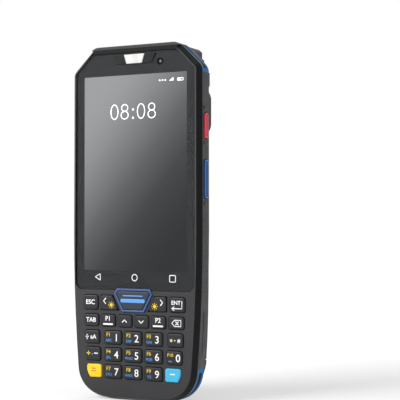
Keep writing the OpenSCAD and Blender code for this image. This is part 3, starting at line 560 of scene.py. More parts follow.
def band_x(z):
    """The side band's place across: straight above 80 mm, and drawn in by a wide arc below."""
    radius = (BAND_STRAIGHT ** 2 + BAND_DRAW ** 2) / (2 * BAND_DRAW)
    return BAND_HALF - radius + np.sqrt(radius ** 2 - np.minimum(z - BAND_STRAIGHT, 0) ** 2)


def on_slope(n, m):
    """True for the rim above the glass, and for faces outside the flat front: the slope's belt, its top
    chamfers and its lower corners."""
    across, up = np.abs(m[:, 0]), m[:, 2]
    rim = (up > RIM_TOP) | (across + up > RIM_CHAMFER)
    corner = np.hypot(np.maximum(across - 20, 0), np.minimum(up - 14, 0))
    outside = (across > band_x(up) - 4.5) | (up < 6.5) | ((across > 20) & (up < 14) & (corner > 9.5))
    return (m[:, 1] < 3.7) & (rim | ((n[:, 1] > -0.9) & outside))


second_finish(front_shell, slope_plastic, on_slope)
joint_ink = moulded("joint_ink", paint(26, 26, 28), 0.2, 0.004, (0.5, 0.6))
JOINT_X, JOINT_FOOT, JOINT_ARC = 30.3, 15.0, 12
edge_z = np.linspace(50.2, JOINT_FOOT + 0.5, 12)
fall = np.radians(np.linspace(0, 52, 9))
joint_path = np.vstack([np.stack([np.full(12, JOINT_X), edge_z], -1),
                        np.stack([JOINT_X - JOINT_ARC + JOINT_ARC * np.cos(fall),
                                  JOINT_FOOT - JOINT_ARC * np.sin(fall)], -1)])
part("panel_joints", [stroke(joint_path * [side, 1], 0.22, on_front(0), 0.02) for side in (1, -1)],
     joint_ink, "housing", "front_shell")


# The display: a lit liquid crystal panel in its frame. A black print on the back of
# the glass frames the picture, and the glass is bonded into the front housing.
def plain_colour(name, colour, rough, shine=0.5, light=0.0):
    """A printed ink or a lit icon: a flat colour whose gloss wanders a little."""
    material, tree, place, finish = new_material(name)
    cloud = noise(tree, place, 90.0, 2.0)
    shade = mix(tree, spread(tree, cloud, 0, 0.08), colour, (0, 0, 0, 1))
    finish(Base_Color=shade, Roughness=spread(tree, cloud, rough * 0.9, rough * 1.1),
           Specular_IOR_Level=shine, Emission_Color=colour, Emission_Strength=light)
    return material


SCREEN_HALF, SCREEN_LOW, SCREEN_TOP = 28.1, 61.8, 155.6
picture, tree, place, finish = new_material("screen_picture")
axes = add(tree, "SeparateXYZ", Vector=place).outputs
lean = maths(tree, "MULTIPLY_ADD", axes["X"], -1.2, axes["Z"])
wash = add(tree, "ValToRGB", Fac=spread(tree, lean, 0, 1, 0.042, 0.176, smooth=True))
wash.color_ramp.elements[0].color, wash.color_ramp.elements[1].color = paint(42, 42, 43), paint(160, 160, 162)
for stop, level in ((0.25, 64), (0.5, 96), (0.75, 130)):
    wash.color_ramp.elements.new(stop).color = paint(level, level, level + 1)
pixels = spread(tree, noise(tree, place, 2400.0, 0.0), 0, 0.02)
shown = mix(tree, pixels, wash.outputs["Color"], (0, 0, 0, 1))
finish(Base_Color=(0.006, 0.006, 0.007, 1), Roughness=0.4, Specular_IOR_Level=0.1,
       Emission_Color=shown, Emission_Strength=1.0)
display_back = cast_metal("display_back", paint(170, 172, 176), (0.35, 0.5))
display = part("display_panel", [raised(rounded(59.0, 99.2, 0.8, z=108.4),
                                        [(0, -3.0), (0, -0.1), (0.1, 0.0)], on_front(0.92))],
               picture, "housing", "display", ["display_module"])
second_finish(display, display_back, lambda n, m: n[:, 1] > -0.9)


def flat_shape(flat, lay, x=0.0, z=0.0):
    """The mesh of a flat curve or a text, laid on a surface with its thickness as height: (points, faces)."""
    holder = bpy.data.objects.new("flat_shape", flat)
    bpy.context.scene.collection.objects.link(holder)
    bpy.context.view_layer.update()
    mesh = bpy.data.meshes.new_from_object(holder.evaluated_get(bpy.context.evaluated_depsgraph_get()))
    bpy.data.objects.remove(holder)
    across, up, height = read(mesh.vertices, "co", 3).T
    return lay(across + x, up + z, height), [list(face.vertices) for face in mesh.polygons]


def cut_sheet(name, outlines, y, thick, material, body, slot, replaces=()):
    """A sheet across the front with holes: filled flat curves, first the outline, then the holes, with a
    thickness about y."""
    flat = bpy.data.curves.new(name, "CURVE")
    flat.dimensions, flat.fill_mode, flat.extrude = "2D", "BOTH", thick / 2
    for outline in outlines:
        spline = flat.splines.new("POLY")
        spline.points.add(len(outline) - 1)
        spline.points.foreach_set("co", np.hstack([outline, np.full((len(outline), 2), (0.0, 1.0))]).ravel())
        spline.use_cyclic_u = True
    made = make_mesh(name, *flat_shape(flat, on_front(y)), material, smooth=False)
    outwards(made, WELD / 2)
    attach(made, body, slot, replaces)


GLASS_CORNERS = np.array([[-29.7, 52.6], [29.7, 52.6], [32.3, 55.2], [32.3, 157.6],
                          [23.5, 166.2], [-23.5, 166.2], [-32.3, 157.6], [-32.3, 55.2]])
EAR_SLOT = [[-9.6, 160.8], [9.6, 160.8], [11.8, 165.6], [-11.8, 165.6]]
FRONT_CAMERA = (13.9, 161.2)
# The print is dark grey rather than black: the lift is a painted reflection of the white room in the glass.
border_print_and_reflection = plain_colour("border_print_and_reflection", paint(54, 54, 55), 0.5, shine=0.05)
screen_hole = rounded(2 * SCREEN_HALF, SCREEN_TOP - SCREEN_LOW, 0.3, z=(SCREEN_LOW + SCREEN_TOP) / 2)
camera_hole = circle(*FRONT_CAMERA, 1.75)
cut_sheet("border_print_and_reflection", [drawn_in(GLASS_CORNERS, -0.17), screen_hole, EAR_SLOT, camera_hole], 0.86, 0.03,
          border_print_and_reflection, "housing", "glass")


def clear_pane(name, tint, rough):
    """Clear coated glass: it mirrors nothing head-on and more with the seventh power of the facing angle,
    and the rest passes straight on, tinted. The mirror's gloss is broken by faint finger marks."""
    material, tree, place, finish = new_material(name)
    marks = noise(tree, place, 60.0, 6.0, Roughness=0.7, Distortion=1.2)
    mirror = add(tree, "BsdfGlossy", Color=(1, 1, 1, 1),
                 Roughness=spread(tree, marks, rough, rough * 2.0, 0.5, 0.75))
    through = add(tree, "BsdfTransparent", Color=tint)
    rise = maths(tree, "POWER", add(tree, "LayerWeight", Blend=0.5).outputs["Facing"], 7.0)
    finish(add(tree, "MixShader", i0=rise, i1=through.outputs[0], i2=mirror.outputs[0]))
    return material


pane_glass = clear_pane("pane_glass", (0.97, 0.98, 0.98, 1), 0.012)
cut_sheet("touch_pane", [drawn_in(GLASS_CORNERS, -0.18), EAR_SLOT], 0.46, 0.7, pane_glass, "housing", "glass",
          ["touch_glass"])


# What the screen and the glass show: a clock, the status signs, and the three signs
# of the touch keys below the picture.
def ink_part(name, groups, body, slot):
    """A piece of print: its groups are (shapes, material), each with its own colour."""
    made = make_mesh(name, *joined([shape for shapes, ink in groups for shape in shapes]), smooth=False)
    index = []
    for number, (shapes, ink) in enumerate(groups):
        made.data.materials.append(ink)
        index += [number] * sum(len(faces) for points, faces in shapes)
    made.data.polygons.foreach_set("material_index", index)
    outwards(made, WELD / 2)
    attach(made, body, slot)


PICTURE, BEHIND_GLASS = on_front(0.9), on_front(0.83)
lit_white = plain_colour("lit_white", paint(235, 235, 235), 0.4, light=0.9)
# The white ink glows faintly: a painted glow.
white_print = plain_colour("white_print", paint(228, 228, 228), 0.4, light=0.25)


def lit_line(path, width, closed=True):
    """A line of light on the picture."""
    return stroke(path, width, PICTURE, 0.02, 0, closed)


def lit_patch(outline):
    """A filled patch of light on the picture."""
    return raised(outline, [(0, 0), (0, 0.02)], PICTURE)


def digit_bowls(kind, x, z, w, h):
    """The thin numerals of the clock: a nought is one tall oval, an eight two ovals, one on the other."""
    ovals = [(0, w / 2, h / 2)]
    if kind == "8":
        ovals = [(h * 0.26, w * 0.43, h * 0.235), (h * -0.235, w / 2, h * 0.265)]
    return [lit_line(circle(x, z + up, across, 28, tall), 0.46) for up, across, tall in ovals]


CLOCK_Z, CLOCK_H, CLOCK_W, STATUS_Z = 138.05, 7.0, 3.95, 152.15
clock = []
for kind, x in (("0", -11.2), ("8", -5.5), ("0", 3.5), ("8", 9.3)):
    clock += digit_bowls(kind, x, CLOCK_Z, CLOCK_W, CLOCK_H)
clock += [lit_patch(circle(-0.9, z, 0.55, 12)) for z in (CLOCK_Z + 0.9, CLOCK_Z - 3.1)]
for i in range(4):
    x = 19.1 + 0.56 * i
    clock.append(lit_line([[x, STATUS_Z - 0.55], [x, STATUS_Z - 0.15 + 0.4 * i]], 0.44, closed=False))
clock += [lit_line(rounded(3.0, 1.2, 0.25, x=24.65, z=STATUS_Z), 0.28),
          lit_patch(rounded(1.7, 0.6, 0.1, x=24.2, z=STATUS_Z))]
clock += [lit_patch(circle(13.6 + 1.5 * i, STATUS_Z - 0.05, 0.42, 10)) for i in range(3)]
ink_part("screen_signs", [(clock, lit_white)], "housing", "display")

SIGN_Z = 58.6
outlines = [round_off([[-21.8, SIGN_Z], [-19.0, SIGN_Z - 1.6], [-19.0, SIGN_Z + 1.6]], 0.2, 3),
            circle(0.1, SIGN_Z, 1.45, 28, 1.52), rounded(3.1, 3.1, 0.45, x=20.6, z=SIGN_Z - 0.1)]
signs = [stroke(outline, 0.4, BEHIND_GLASS, 0.02, 0.01, True) for outline in outlines]
ink_part("touch_signs", [(signs, white_print)], "housing", "glass")
edge_path = [[-32.2, 157.8], [-23.9, 166.1], [23.9, 166.1], [32.2, 157.8]]
upper_edge = stroke(edge_path, 0.8, BEHIND_GLASS, 0.02, 0)
ink_part("glass_edge_line", [([upper_edge], joint_ink)], "housing", "glass")


# The earpiece: a slot in the glass with an indicator lens of opal plastic between two
# woven acoustic meshes, and the front camera behind its window.
opal, tree, place, finish = new_material("opal")
milk = noise(tree, place, 300.0, 3.0)
milky = mix(tree, spread(tree, milk, 0, 1), paint(188, 188, 186), paint(200, 200, 198))
# The lens also glows faintly: a painted glow that lifts it towards white.
finish(Base_Color=milky, Emission_Color=milky, Emission_Strength=0.2, Coat_Weight=0.3,
       Roughness=spread(tree, milk, 0.25, 0.35))
softened("indicator", "indicator_lens", "housing", "indicator", opal, width=0.2)

mesh_cloth, tree, place, finish = new_material("mesh_cloth")
askew = add(tree, "Mapping", Vector=place, Scale=(1, 0, 1), Rotation=(0, math.radians(45), 0)).outputs[0]
holes = add(tree, "TexVoronoi", {"voronoi_dimensions": "3D"}, Vector=askew, Scale=1250.0, Randomness=0.0)
wire = spread(tree, holes.outputs["Distance"], 0, 1, 0.4, 0.5)
weave = mix(tree, wire, paint(4, 4, 5), paint(62, 63, 65))
bump = add(tree, "Bump", Height=wire, Distance=0.00008, Strength=1.0)
finish(Base_Color=weave, Normal=bump.outputs[0], Specular_IOR_Level=0.15,
       Roughness=spread(tree, wire, 0.7, 0.4, 0, 1))
softened("earpiece_mesh", "acoustic_meshes", "housing", "mesh", mesh_cloth, width=0.08, least=0.2)


def carried_round(profile, centre, steps):
    """A profile of (radius, height), carried round a centre, with its two ends closed: (points, faces)."""
    return capped([np.column_stack([circle(*centre, radius, steps), np.full(steps, height)])
                   for radius, height in profile])


def turned(profile, centre, lay):
    """A turned part: a profile of (radius, height), carried round a centre and laid on a surface."""
    points, faces = carried_round(profile, centre, 40)
    return lay(*points.T), faces


camera_black = moulded("camera_black", paint(10, 10, 11), 0.2, 0.003, (0.3, 0.4), shine=0.05)
ring_metal = cast_metal("ring_metal", paint(168, 170, 174), (0.18, 0.28))
lens_coat, tree, place, finish = new_material("lens_coat")
tint = noise(tree, place, 220.0, 1.0)
violet = mix(tree, spread(tree, tint, 0, 1), paint(16, 18, 40), paint(34, 22, 46))
finish(Base_Color=violet, Roughness=spread(tree, tint, 0.03, 0.06), Specular_IOR_Level=0.9,
       Coat_Weight=1.0, Coat_Roughness=0.02)
for name, material, replaces, profile in (
        ("barrel", camera_black, ["front_camera"],
         [(1.7, -3.0), (1.72, -0.1), (1.7, 0.0), (1.2, 0.0), (0.95, -0.2), (0.62, -0.3)]),
        ("lens", lens_coat, (), [(0.49, -0.32), (0.47, -0.2), (0.33, -0.14), (0.15, -0.11)]),
        # A thin polished ring on the lens, set there for the light ring that a glint on the lens makes: a
        # painted highlight.
        ("ring", ring_metal, (),
         [(0.64, -0.32), (0.66, -0.2), (0.58, -0.16), (0.5, -0.2), (0.48, -0.32)])):
    part("front_camera_" + name, [turned(profile, FRONT_CAMERA, on_front(0.88))], material, "housing",
         "front_camera", replaces)


# The keypad: 26 caps of hard rubber on a mat of domes. Each cap has a lip behind the
# panel, a rounded rim and a flat face with printed legends.
def face_outline(node):
    """The corners of a cap's face, mm across and up: the CAD cap's foremost points, in turn round their
    middle."""
    co = read(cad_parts[node].data.vertices, "co", 3) * 1000
    face = np.unique(np.round(co[co[:, 1] < co[:, 1].min() + 0.01][:, [0, 2]], 3), axis=0)
    middle = (face.max(0) + face.min(0)) / 2
    return face[np.argsort(np.arctan2(face[:, 1] - middle[1], face[:, 0] - middle[0]))]


LIP, LIP_FACE, CAP_BACK = 0.35, 1.6, 2.1
RIM = [(0.0, -0.45), (0.1, -0.22), (0.28, -0.08), (0.55, -0.01), (0.75, 0.0)]


def hard_rubber(name, colour, rub=0.3, gloss=(0.42, 0.55)):
    """The satin rubber of the caps."""
    return moulded(name, colour, 0.25, 0.008, gloss, rub=rub, shine=0.3)


cap_dark = hard_rubber("cap_dark", paint(36, 36, 39))
cap_yellow = hard_rubber("cap_yellow", paint(248, 208, 40), 0.15)
cap_cyan = hard_rubber("cap_cyan", paint(74, 186, 226), 0.15)
cap_scan = hard_rubber("cap_scan", paint(46, 54, 66), gloss=(0.38, 0.5))


def key_cap(node, rise, material, slot, corner=0.0):
    """A cap over its CAD outline: the lip, the wall up to the rim, and the rim's round onto the face."""
    lip = [(-LIP, -CAP_BACK), (-LIP, -LIP_FACE), (0.0, -LIP_FACE)]
    levels = lip + [(inset, rise + h) for inset, h in RIM]
    part(node + "_cap", [raised(face_outline(node), levels, on_front(0.0), corner)], material,
         node + "_cap", slot, [node], fold=50)


for name in ("esc", "enter", "tab", "backspace", "shift", "symbol", "sign", "p1", "up", "down", "p2",
             *"0123456789"):
    key_cap("key_" + name, 0.7, cap_dark, "key_dark")
for name in ("left", "right"):
    key_cap("key_" + name, 0.7, cap_dark, "key_dark", corner=1.1)
key_cap("key_yellow", 0.7, cap_yellow, "key_yellow")
key_cap("key_blue", 0.7, cap_cyan, "key_cyan")
key_cap("key_scan", 0.9, cap_scan, "key_scan", corner=0.9)

# The yellow and blue inks glow faintly: a painted glow.
yellow_print = plain_colour("yellow_print", paint(226, 196, 44), 0.4, light=0.1)
blue_print = plain_colour("blue_print", paint(70, 140, 206), 0.4, light=0.1)
amber_print = plain_colour("amber_print", paint(196, 128, 20), 0.4)
KEY_FACE, SCAN_FACE = on_front(-0.7), on_front(-0.9)
ROWS, COLUMN_STEP = (13.5, 21.65, 29.8, 37.85, 46.4), 11.08


def printed(outline):
    """A filled patch of print on a key's face."""
    return raised(outline, [(0, -0.02), (0, 0.03)], KEY_FACE)


def bar(x, z, w, h):
    """A printed bar."""
    return printed(rounded(w, h, 0.1, 2, x, z))


def line(*path, wide=0.42, closed=False, lay=KEY_FACE):
    """A printed line."""
    return stroke(path, wide, lay, 0.03, 0.02, closed)


def word(text, size, x, z, bold=0.05):
    """Plain lettering on a key's face, centred on a place, with each letter's outline grown by bold."""
    flat = bpy.data.curves.new("lettering", "FONT")
    flat.body, flat.size, flat.extrude, flat.offset = text, size, 0.02, bold
    flat.align_x, flat.align_y, flat.resolution_u = "CENTER", "CENTER", 4
    return flat_shape(flat, on_front(-0.72), x, z)


def legend(name, white, yellow=(), blue=()):
    """All the print of one key's face as one piece."""
    inks = ((white, white_print), (yellow, yellow_print), (blue, blue_print))
    ink_part("key_" + name + "_print", [(list(shapes), ink) for shapes, ink in inks if shapes],
             "key_" + name + "_cap", "key_dark")


ALPHABET = ("ABC", "DEF", "GHI", "JKL", "MNO", "PQR", "STU", "VWX", "YZ")
for digit in range(1, 10):
    x, z = ((digit - 1) % 3 - 1) * COLUMN_STEP, ROWS[2 - (digit - 1) // 3]
    legend(str(digit), [word(str(digit), 5.0, x + 2.1, z - 0.2, 0.03)],
           [word("F" + str(digit), 2.5, x - 2.3, z + 1.25, 0.02)],
           [word(ALPHABET[digit - 1], 1.8, x - 2.1, z - 1.4, 0.02)])
second, third, fourth, fifth = ROWS[1:]
legend("0", [word("0", 5.0, 24.3, second - 0.2)], [word("F10", 2.2, 20.2, second + 1.2, 0.02)],
       [bar(20.2, second - 1.6, 1.8, 0.5)])
legend("esc", [word("ESC", 3.1, -23.6, fifth)])
legend("tab", [word("TAB", 3.0, -23.2, fourth)])
shift_head = [[-26.2, third - 0.2], [-25.4, third + 1], [-24.6, third - 0.2]]
shift_stem = [[-25.4, third - 0.2], [-25.4, third - 1.4]]
legend("shift", [line(*shift_head, wide=0.4, closed=True), line(*shift_stem, wide=0.4),
                 word("aA", 3.0, -21.9, third - 0.1)])
legend("sign", [bar(-20.4, second + 0.2, 2.0, 0.5)],
       [bar(-24.6, second + 0.2, 2.0, 0.45), bar(-24.6, second + 0.2, 0.45, 2.0)],
       [printed(circle(-22.5, second - 0.2, 0.35, 10))])
legend("symbol", [word("*", 3.4, 20.7, third - 0.7, 0.03), word("#", 2.6, 24.7, third, 0.03)],
       [printed(circle(22.6, third, 0.4, 10))])
legend("enter", [word("ENT", 2.6, 23.2, fifth + 0.9),
                 line([26.3, fifth + 1.8], [26.3, fifth - 1.7], [21.2, fifth - 1.7]),
                 line([22.3, fifth - 0.8], [21.0, fifth - 1.7], [22.3, fifth - 2.6])])
for name, x in (("p1", -13.66), ("p2", 13.66)):
    legend(name, [word(name.upper(), 3.0, x, fourth + 0.9), bar(x, fourth - 1.7, 5.4, 0.75)])
for name, x, rise in (("up", -4.55, 0.6), ("down", 4.55, -0.6)):
    legend(name, [line([x - 1.25, fourth - rise], [x, fourth + rise], [x + 1.25, fourth - rise], wide=0.5)])
legend("backspace", [line([21.0, fourth], [22.5, fourth + 1.45], [25.8, fourth + 1.45], [25.8, fourth - 1.45],
                          [22.5, fourth - 1.45], closed=True),
                     line([23.0, fourth + 0.85], [24.6, fourth - 0.85]),
                     line([23.0, fourth - 0.85], [24.6, fourth + 0.85])])
for name, side in (("left", -1), ("right", 1)):
    x, z = side * 11.9, fifth - 1.05
    rays = [line(*ends, wide=0.35) for ends in zip(circle(x, z, 1.15, 8), circle(x, z, 1.65, 8))]
    arrow = line([side * 14.9, z + 3.25], [side * 16.1, z + 1.85], [side * 14.9, z + 0.45], wide=0.5)
    legend(name, [arrow], [printed(circle(x, z, 0.85, 14))] + rays)
ink_part("key_yellow_print", [([line([-22.9, z], [-20.4, z], wide=0.5) for z in (14.6, 13.4)], amber_print)],
         "key_yellow_cap", "key_yellow")
ink_part("key_blue_print", [([bar(21.4, 14.0, 2.6, 0.55)], white_print)], "key_blue_cap", "key_cyan")

# The scan key's light bar and its blue line, which show that the reader is ready, and
# the frame of blue plastic that rises round the key.
bar_blue = plain_colour("bar_blue", paint(84, 142, 206), 0.3, light=0.35)
light_bar = raised(rounded(13.2, 1.7, 0.5, 4, 0, 47.6), [(0, -0.02), (0, 0.04), (0.12, 0.07)], SCAN_FACE)
ink_part("key_scan_bar", [([light_bar, line([-5.4, 50.0], [5.4, 50.0], wide=0.5, lay=SCAN_FACE)], bar_blue)],
         "key_scan_cap", "key_scan")
trim_blue = moulded("trim_blue", paint(50, 84, 144), 0.25, 0.006, (0.3, 0.42), rub=0.3, coat=0.2)
softened("scan_trim", "scan_key_trim", "housing", "blue_trim", trim_blue, width=0.2, least=0.3)


# The side keys: hard caps in blue frames of the band. The power key is red, the scan
# keys are blue, and the volume rocker on the left is grey with two raised signs.
cap_red = moulded("cap_red", paint(196, 44, 66), 0.25, 0.01, (0.35, 0.48), rub=0.3, shine=0.2)
cap_blue = moulded("cap_blue", paint(18, 72, 126), 0.25, 0.01, (0.35, 0.48), rub=0.3, shine=0.15)
cap_grey = moulded("cap_grey", paint(58, 59, 62), 0.25, 0.01, (0.4, 0.52), rub=0.3)
# Paler tints of the blue and the red caps, used for painted highlights round their rims.
rim_highlight_blue = moulded("rim_highlight_blue", paint(120, 156, 206), 0.25, 0.005, (0.35, 0.48))
rim_highlight_red = moulded("rim_highlight_red", paint(226, 116, 126), 0.25, 0.005, (0.35, 0.48))
SIDE_FACE, SIDE_KEY_Y = 35.5, 7.0
SIDE_KEYS = (("power_key", "power_button", "key_red", cap_red, rim_highlight_red, 130.3, 11.9, 1),
             ("right_scan_key", "right_scan_button", "key_side_blue", cap_blue, rim_highlight_blue, 105.2, 18.3, 1),
             ("left_scan_key", "left_scan_button", "key_side_blue", cap_blue, rim_highlight_blue, 105.2, 18.3, -1),
             ("volume_rocker", "volume_switch", "key_side_grey", cap_grey, None, 132.5, 17.0, -1))
for node, body, slot, material, rim, middle, length, side in SIDE_KEYS:
    softened(node + "_cap", node, body, slot, material, width=0.3, least=0.35)
    # Each coloured key gets a ring round its face in a paler tint of its colour: a painted highlight on its
    # rim.
    if rim:
        outline = rounded(3.2, length - 0.9, 1.15, 6, SIDE_KEY_Y, middle)
        line_round = stroke(outline, 0.22, on_side(side * SIDE_FACE), 0.05, 0.05, True)
        part(node + "_rim", [line_round], rim, body, slot)
strokes = ((2.0, 0.5, 137.2, 0.08), (0.5, 2.0, 137.2, 0.09), (2.0, 0.5, 127.8, 0.08))
part("volume_signs", [raised(rounded(wide, tall, 0.1, 2, SIDE_KEY_Y, z), [(0, -0.05), (0, top)],
                             on_side(-SIDE_FACE)) for wide, tall, z, top in strokes],
     film_print, "volume_switch", "key_side_grey")


# The corner bumpers: blue elastomer frames let into the side band, each with a black
# ribbed insert between its arms, moulded on in the second shot.
bumper_blue = moulded("bumper_blue", paint(28, 100, 156), 0.3, 0.01, (0.36, 0.5), rub=0.2, shine=0.12)
for end in ("top", "bottom"):
    softened(end + "_bumper_frames", end + "_bumpers", "housing", "blue_bumper", bumper_blue, 0.15, 0.3)
insert_black = moulded("insert_black", paint(14, 14, 16), 0.4, 0.02, (0.5, 0.62), rub=0.25, shine=0.1)
softened("bumper_fillers", "bumper_inserts", "housing", "rubber", insert_black, width=0.15, least=0.3)


# The side bands' grip: three staggered rows of small beads below the side keys,
# moulded with the rear housing and in its grain.
def repeated(form, faces, places, lay):
    """One small form of (across, up, height) points at each of many places, all in one array."""
    every = [[start * len(form) + v for v in face] for start in range(len(places)) for face in faces]
    return lay(*(places[:, None] + form).reshape(-1, 3).T), every


def on_band(side):
    """Lays depth, up and height onto a side band, following its draw towards the base."""
    return lambda a, b, h: place_mm(side * (band_x(b) + h), a, b)


BEAD_RADIUS, BEAD_RISE, BEAD_PITCH = 0.55, 0.14, 1.9
bead_y, bead_z = np.meshgrid([5.3, 7.0, 8.7], np.arange(52.5, 87.5, BEAD_PITCH), indexing="ij")
stagger = np.where(bead_y == 7.0, BEAD_PITCH / 2, 0.0)
beads = np.column_stack([bead_y.ravel(), (bead_z + stagger).ravel(), np.zeros(bead_y.size)])
bead = carried_round([(BEAD_RADIUS, -0.1), (BEAD_RADIUS, 0.0), (BEAD_RADIUS * 0.75, BEAD_RISE * 0.8),
                      (BEAD_RADIUS * 0.35, BEAD_RISE)], (0, 0), 8)
part("band_grip", [repeated(*bead, beads, on_band(side)) for side in (1, -1)], rear_plastic,
     "housing", "rear_shell", fold=60)


# The rear camera: a black bezel with a bright line inside its edge, dark glass, a lens
# in its ring and a flash behind a ribbed window. The bezel is clipped through the back.
bezel_black = moulded("bezel_black", paint(20, 20, 22), 0.2, 0.005, (0.28, 0.38), rub=0.25, shine=0.2)
softened("camera_frame", "camera_bezel", "housing", "camera_ring", bezel_black, width=0.25, least=0.3)
island_glass = moulded("island_glass", paint(40, 40, 43), 0.2, 0.0, (0.06, 0.12), shine=0.2)
softened("camera_cover_glass", "camera_glass", "housing", "camera_glass", island_glass, width=0.12, least=0.3)
ISLAND_X, ISLAND_FLOOR = 23.6, 23.2
LENS, FLASH, ISLAND = (ISLAND_X, 144.2), (ISLAND_X, 132.6), on_back(ISLAND_FLOOR)
# The bright line inside the bezel's edge is a thin metal ring that stands for the highlight on the glass's
# rim: a painted highlight.
bezel_line = rounded(10.7, 22.3, 5.3, 16, ISLAND_X, 138.4)
part("bezel_line", [stroke(bezel_line, 0.3, on_back(ISLAND_FLOOR + 0.3), 0.035, 0.1, True)],
     ring_metal, "housing", "camera_ring")
flash_white, tree, place, finish = new_material("flash_white")
middle = add(tree, "VectorMath", {"operation": "DISTANCE"}, i0=place,
             i1=Vector(place_mm(FLASH[0], ISLAND_FLOOR, FLASH[1]))).outputs["Value"]
core = spread(tree, middle, 0, 1, 0.0005, 0.0015, smooth=True)
shade = mix(tree, core, paint(250, 232, 150), paint(244, 244, 238))
ripple = maths(tree, "SINE", maths(tree, "MULTIPLY", middle, 18000.0))
bump = add(tree, "Bump", Height=ripple, Distance=0.00002, Strength=0.6)
# The window's emission is a painted glow that brightens it.
finish(Base_Color=shade, Emission_Color=shade, Emission_Strength=0.3, Coat_Weight=0.5,
       Roughness=spread(tree, core, 0.1, 0.2, 0, 1), Normal=bump.outputs[0])
for name, centre, material, slot, profile in (
        ("rear_lens_ring", LENS, ring_metal, "camera_ring",
         [(2.9, -0.02), (2.9, 0.16), (2.75, 0.24), (2.45, 0.24), (2.3, 0.12), (2.3, -0.02)]),
        ("rear_lens_cone", LENS, camera_black, "camera_glass",
         [(2.29, -0.02), (2.29, 0.14), (2.0, 0.13), (1.6, 0.07), (1.2, 0.03), (1.2, -0.02)]),
        ("rear_lens", LENS, lens_coat, "camera_glass",
         [(1.19, -0.02), (1.19, 0.05), (1.0, 0.13), (0.7, 0.18), (0.3, 0.21)]),
        ("flash_window", FLASH, flash_white, "camera_glass",
         [(2.0, -0.02), (2.0, 0.1), (1.85, 0.17), (1.2, 0.2), (0.5, 0.21)])):
    part(name, [turned(profile, centre, ISLAND)], material, "housing", slot)
part("flash_ring", [stroke(circle(*FLASH, 2.15), 0.25, ISLAND, 0.14, 0.02, True)], ring_metal,
     "housing", "camera_ring")


# The strip across the back: the battery latch on its track, the green surface that
# shows while it is locked, two gold contacts, and the screws in their wells.
latch_grey = moulded("latch_grey", paint(84, 84, 88), 0.3, 0.01, (0.36, 0.48), rub=0.5)
softened("latch_knob", "latch_slider", "latch", "latch_knob", latch_grey, width=0.18, least=0.35)
LATCH_Z = 118.0
rib_accent = moulded("rib_accent", paint(126, 74, 92), 0.3, 0.006, (0.4, 0.5))
part("latch_marks", [raised(rounded(0.5, 2.7, 0.2, 3, x, LATCH_Z), [(0, -0.05), (0, 0.03)], on_back(22.0))
                     for x in (2.1, 3.7, 5.3)], rib_accent, "latch", "latch_knob")
lens_green, tree, place, finish = new_material("lens_green")
swirl = noise(tree, place, 260.0, 2.0)
across = add(tree, "SeparateXYZ", Vector=place).outputs["X"]
# Paler near the knob and dark green away from it: painted shading that makes the flat sign look domed. The
# faint emission is a painted glow.
ground = spread(tree, across, 0, 1, -0.013, -0.003, smooth=True)
green = mix(tree, ground, paint(6, 58, 28), paint(58, 112, 84))
green = mix(tree, spread(tree, swirl, 0, 0.25), green, paint(22, 100, 50))
finish(Base_Color=green, Emission_Color=green, Emission_Strength=0.05, Coat_Weight=0.8,
       Roughness=spread(tree, swirl, 0.14, 0.24))
lock_levels = [(0, 0), (0, 0.2), (0.15, 0.34), (0.6, 0.48), (1.1, 0.55), (1.7, 0.6)]
part("lock_sign", [raised([[-13.9, 115.55], [-1.9, 115.55], [-1.9, 120.45], [-13.9, 120.45]], lock_levels,
                          on_back(19.82), 1.8)], lens_green, "housing", "green_mark", ["latch_indicator"])
gold = cast_metal("gold", paint(222, 178, 88), (0.2, 0.3))
softened("charge_contacts", "gold_contacts", "housing", "gold", gold, width=0.12, least=0.2)
# The contacts' domed tips are a much paler gold than the contacts: a painted highlight.
gold_highlight = moulded("gold_highlight", paint(252, 244, 176), 0.3, 0.004, (0.2, 0.3))
CONTACT_SEAT, CONTACTS = 21.5, [(side * 27.1, LATCH_Z) for side in (1, -1)]
part("contact_gaps", [stroke(circle(*centre, 1.12), 0.36, on_back(CONTACT_SEAT), 0.02, 0.02, True)
                      for centre in CONTACTS], inner_black, "housing", "gold")
part("contact_tips", [turned([(0.82, -0.05), (0.8, 0.03), (0.66, 0.09), (0.3, 0.13)], centre,
                             on_back(CONTACT_SEAT + 0.25)) for centre in CONTACTS],
     gold_highlight, "housing", "gold")
screw_steel = cast_metal("screw_steel", paint(46, 46, 49), (0.35, 0.5))
finish_node("rear_screws", screw_steel)


# The battery pack: a cover in the rear's grey with two fields of moulded squares, a
# bare plate, and lock signs, clipped to the wrapped cells behind it.
cover_plastic = moulded("cover_plastic", paint(76, 77, 79), 0.4, 0.03, (0.46, 0.6), rub=0.35, shine=0.12)
softened("pack_cover", "battery_cover", "battery_pack", "rear_shell", cover_plastic, width=0.2)
PAD_PITCH, PAD_RISE, HALF_FOOT, HALF_TOP = 1.62, 0.17, 0.58, 0.43
FIELD_X, SHOULDER_R, SHOULDER_Y = 18.0, 3.5, 18.9


def over_shoulder(run, height):
    """The back's section from 18 mm out: a run along the crown, then round the shoulder's arc. height is
    measured from the surface along its normal."""
    round_at = CROWN_HALF - FIELD_X
    turn = np.maximum(run - round_at, 0) / SHOULDER_R
    crown_x = FIELD_X + np.minimum(run, round_at)
    x = crown_x + (SHOULDER_R + height) * np.sin(turn)
    flat_y = back_crown(crown_x) - back_crown(CROWN_HALF) + SHOULDER_Y + SHOULDER_R * np.cos(turn)
    return x, flat_y + height * np.cos(turn)


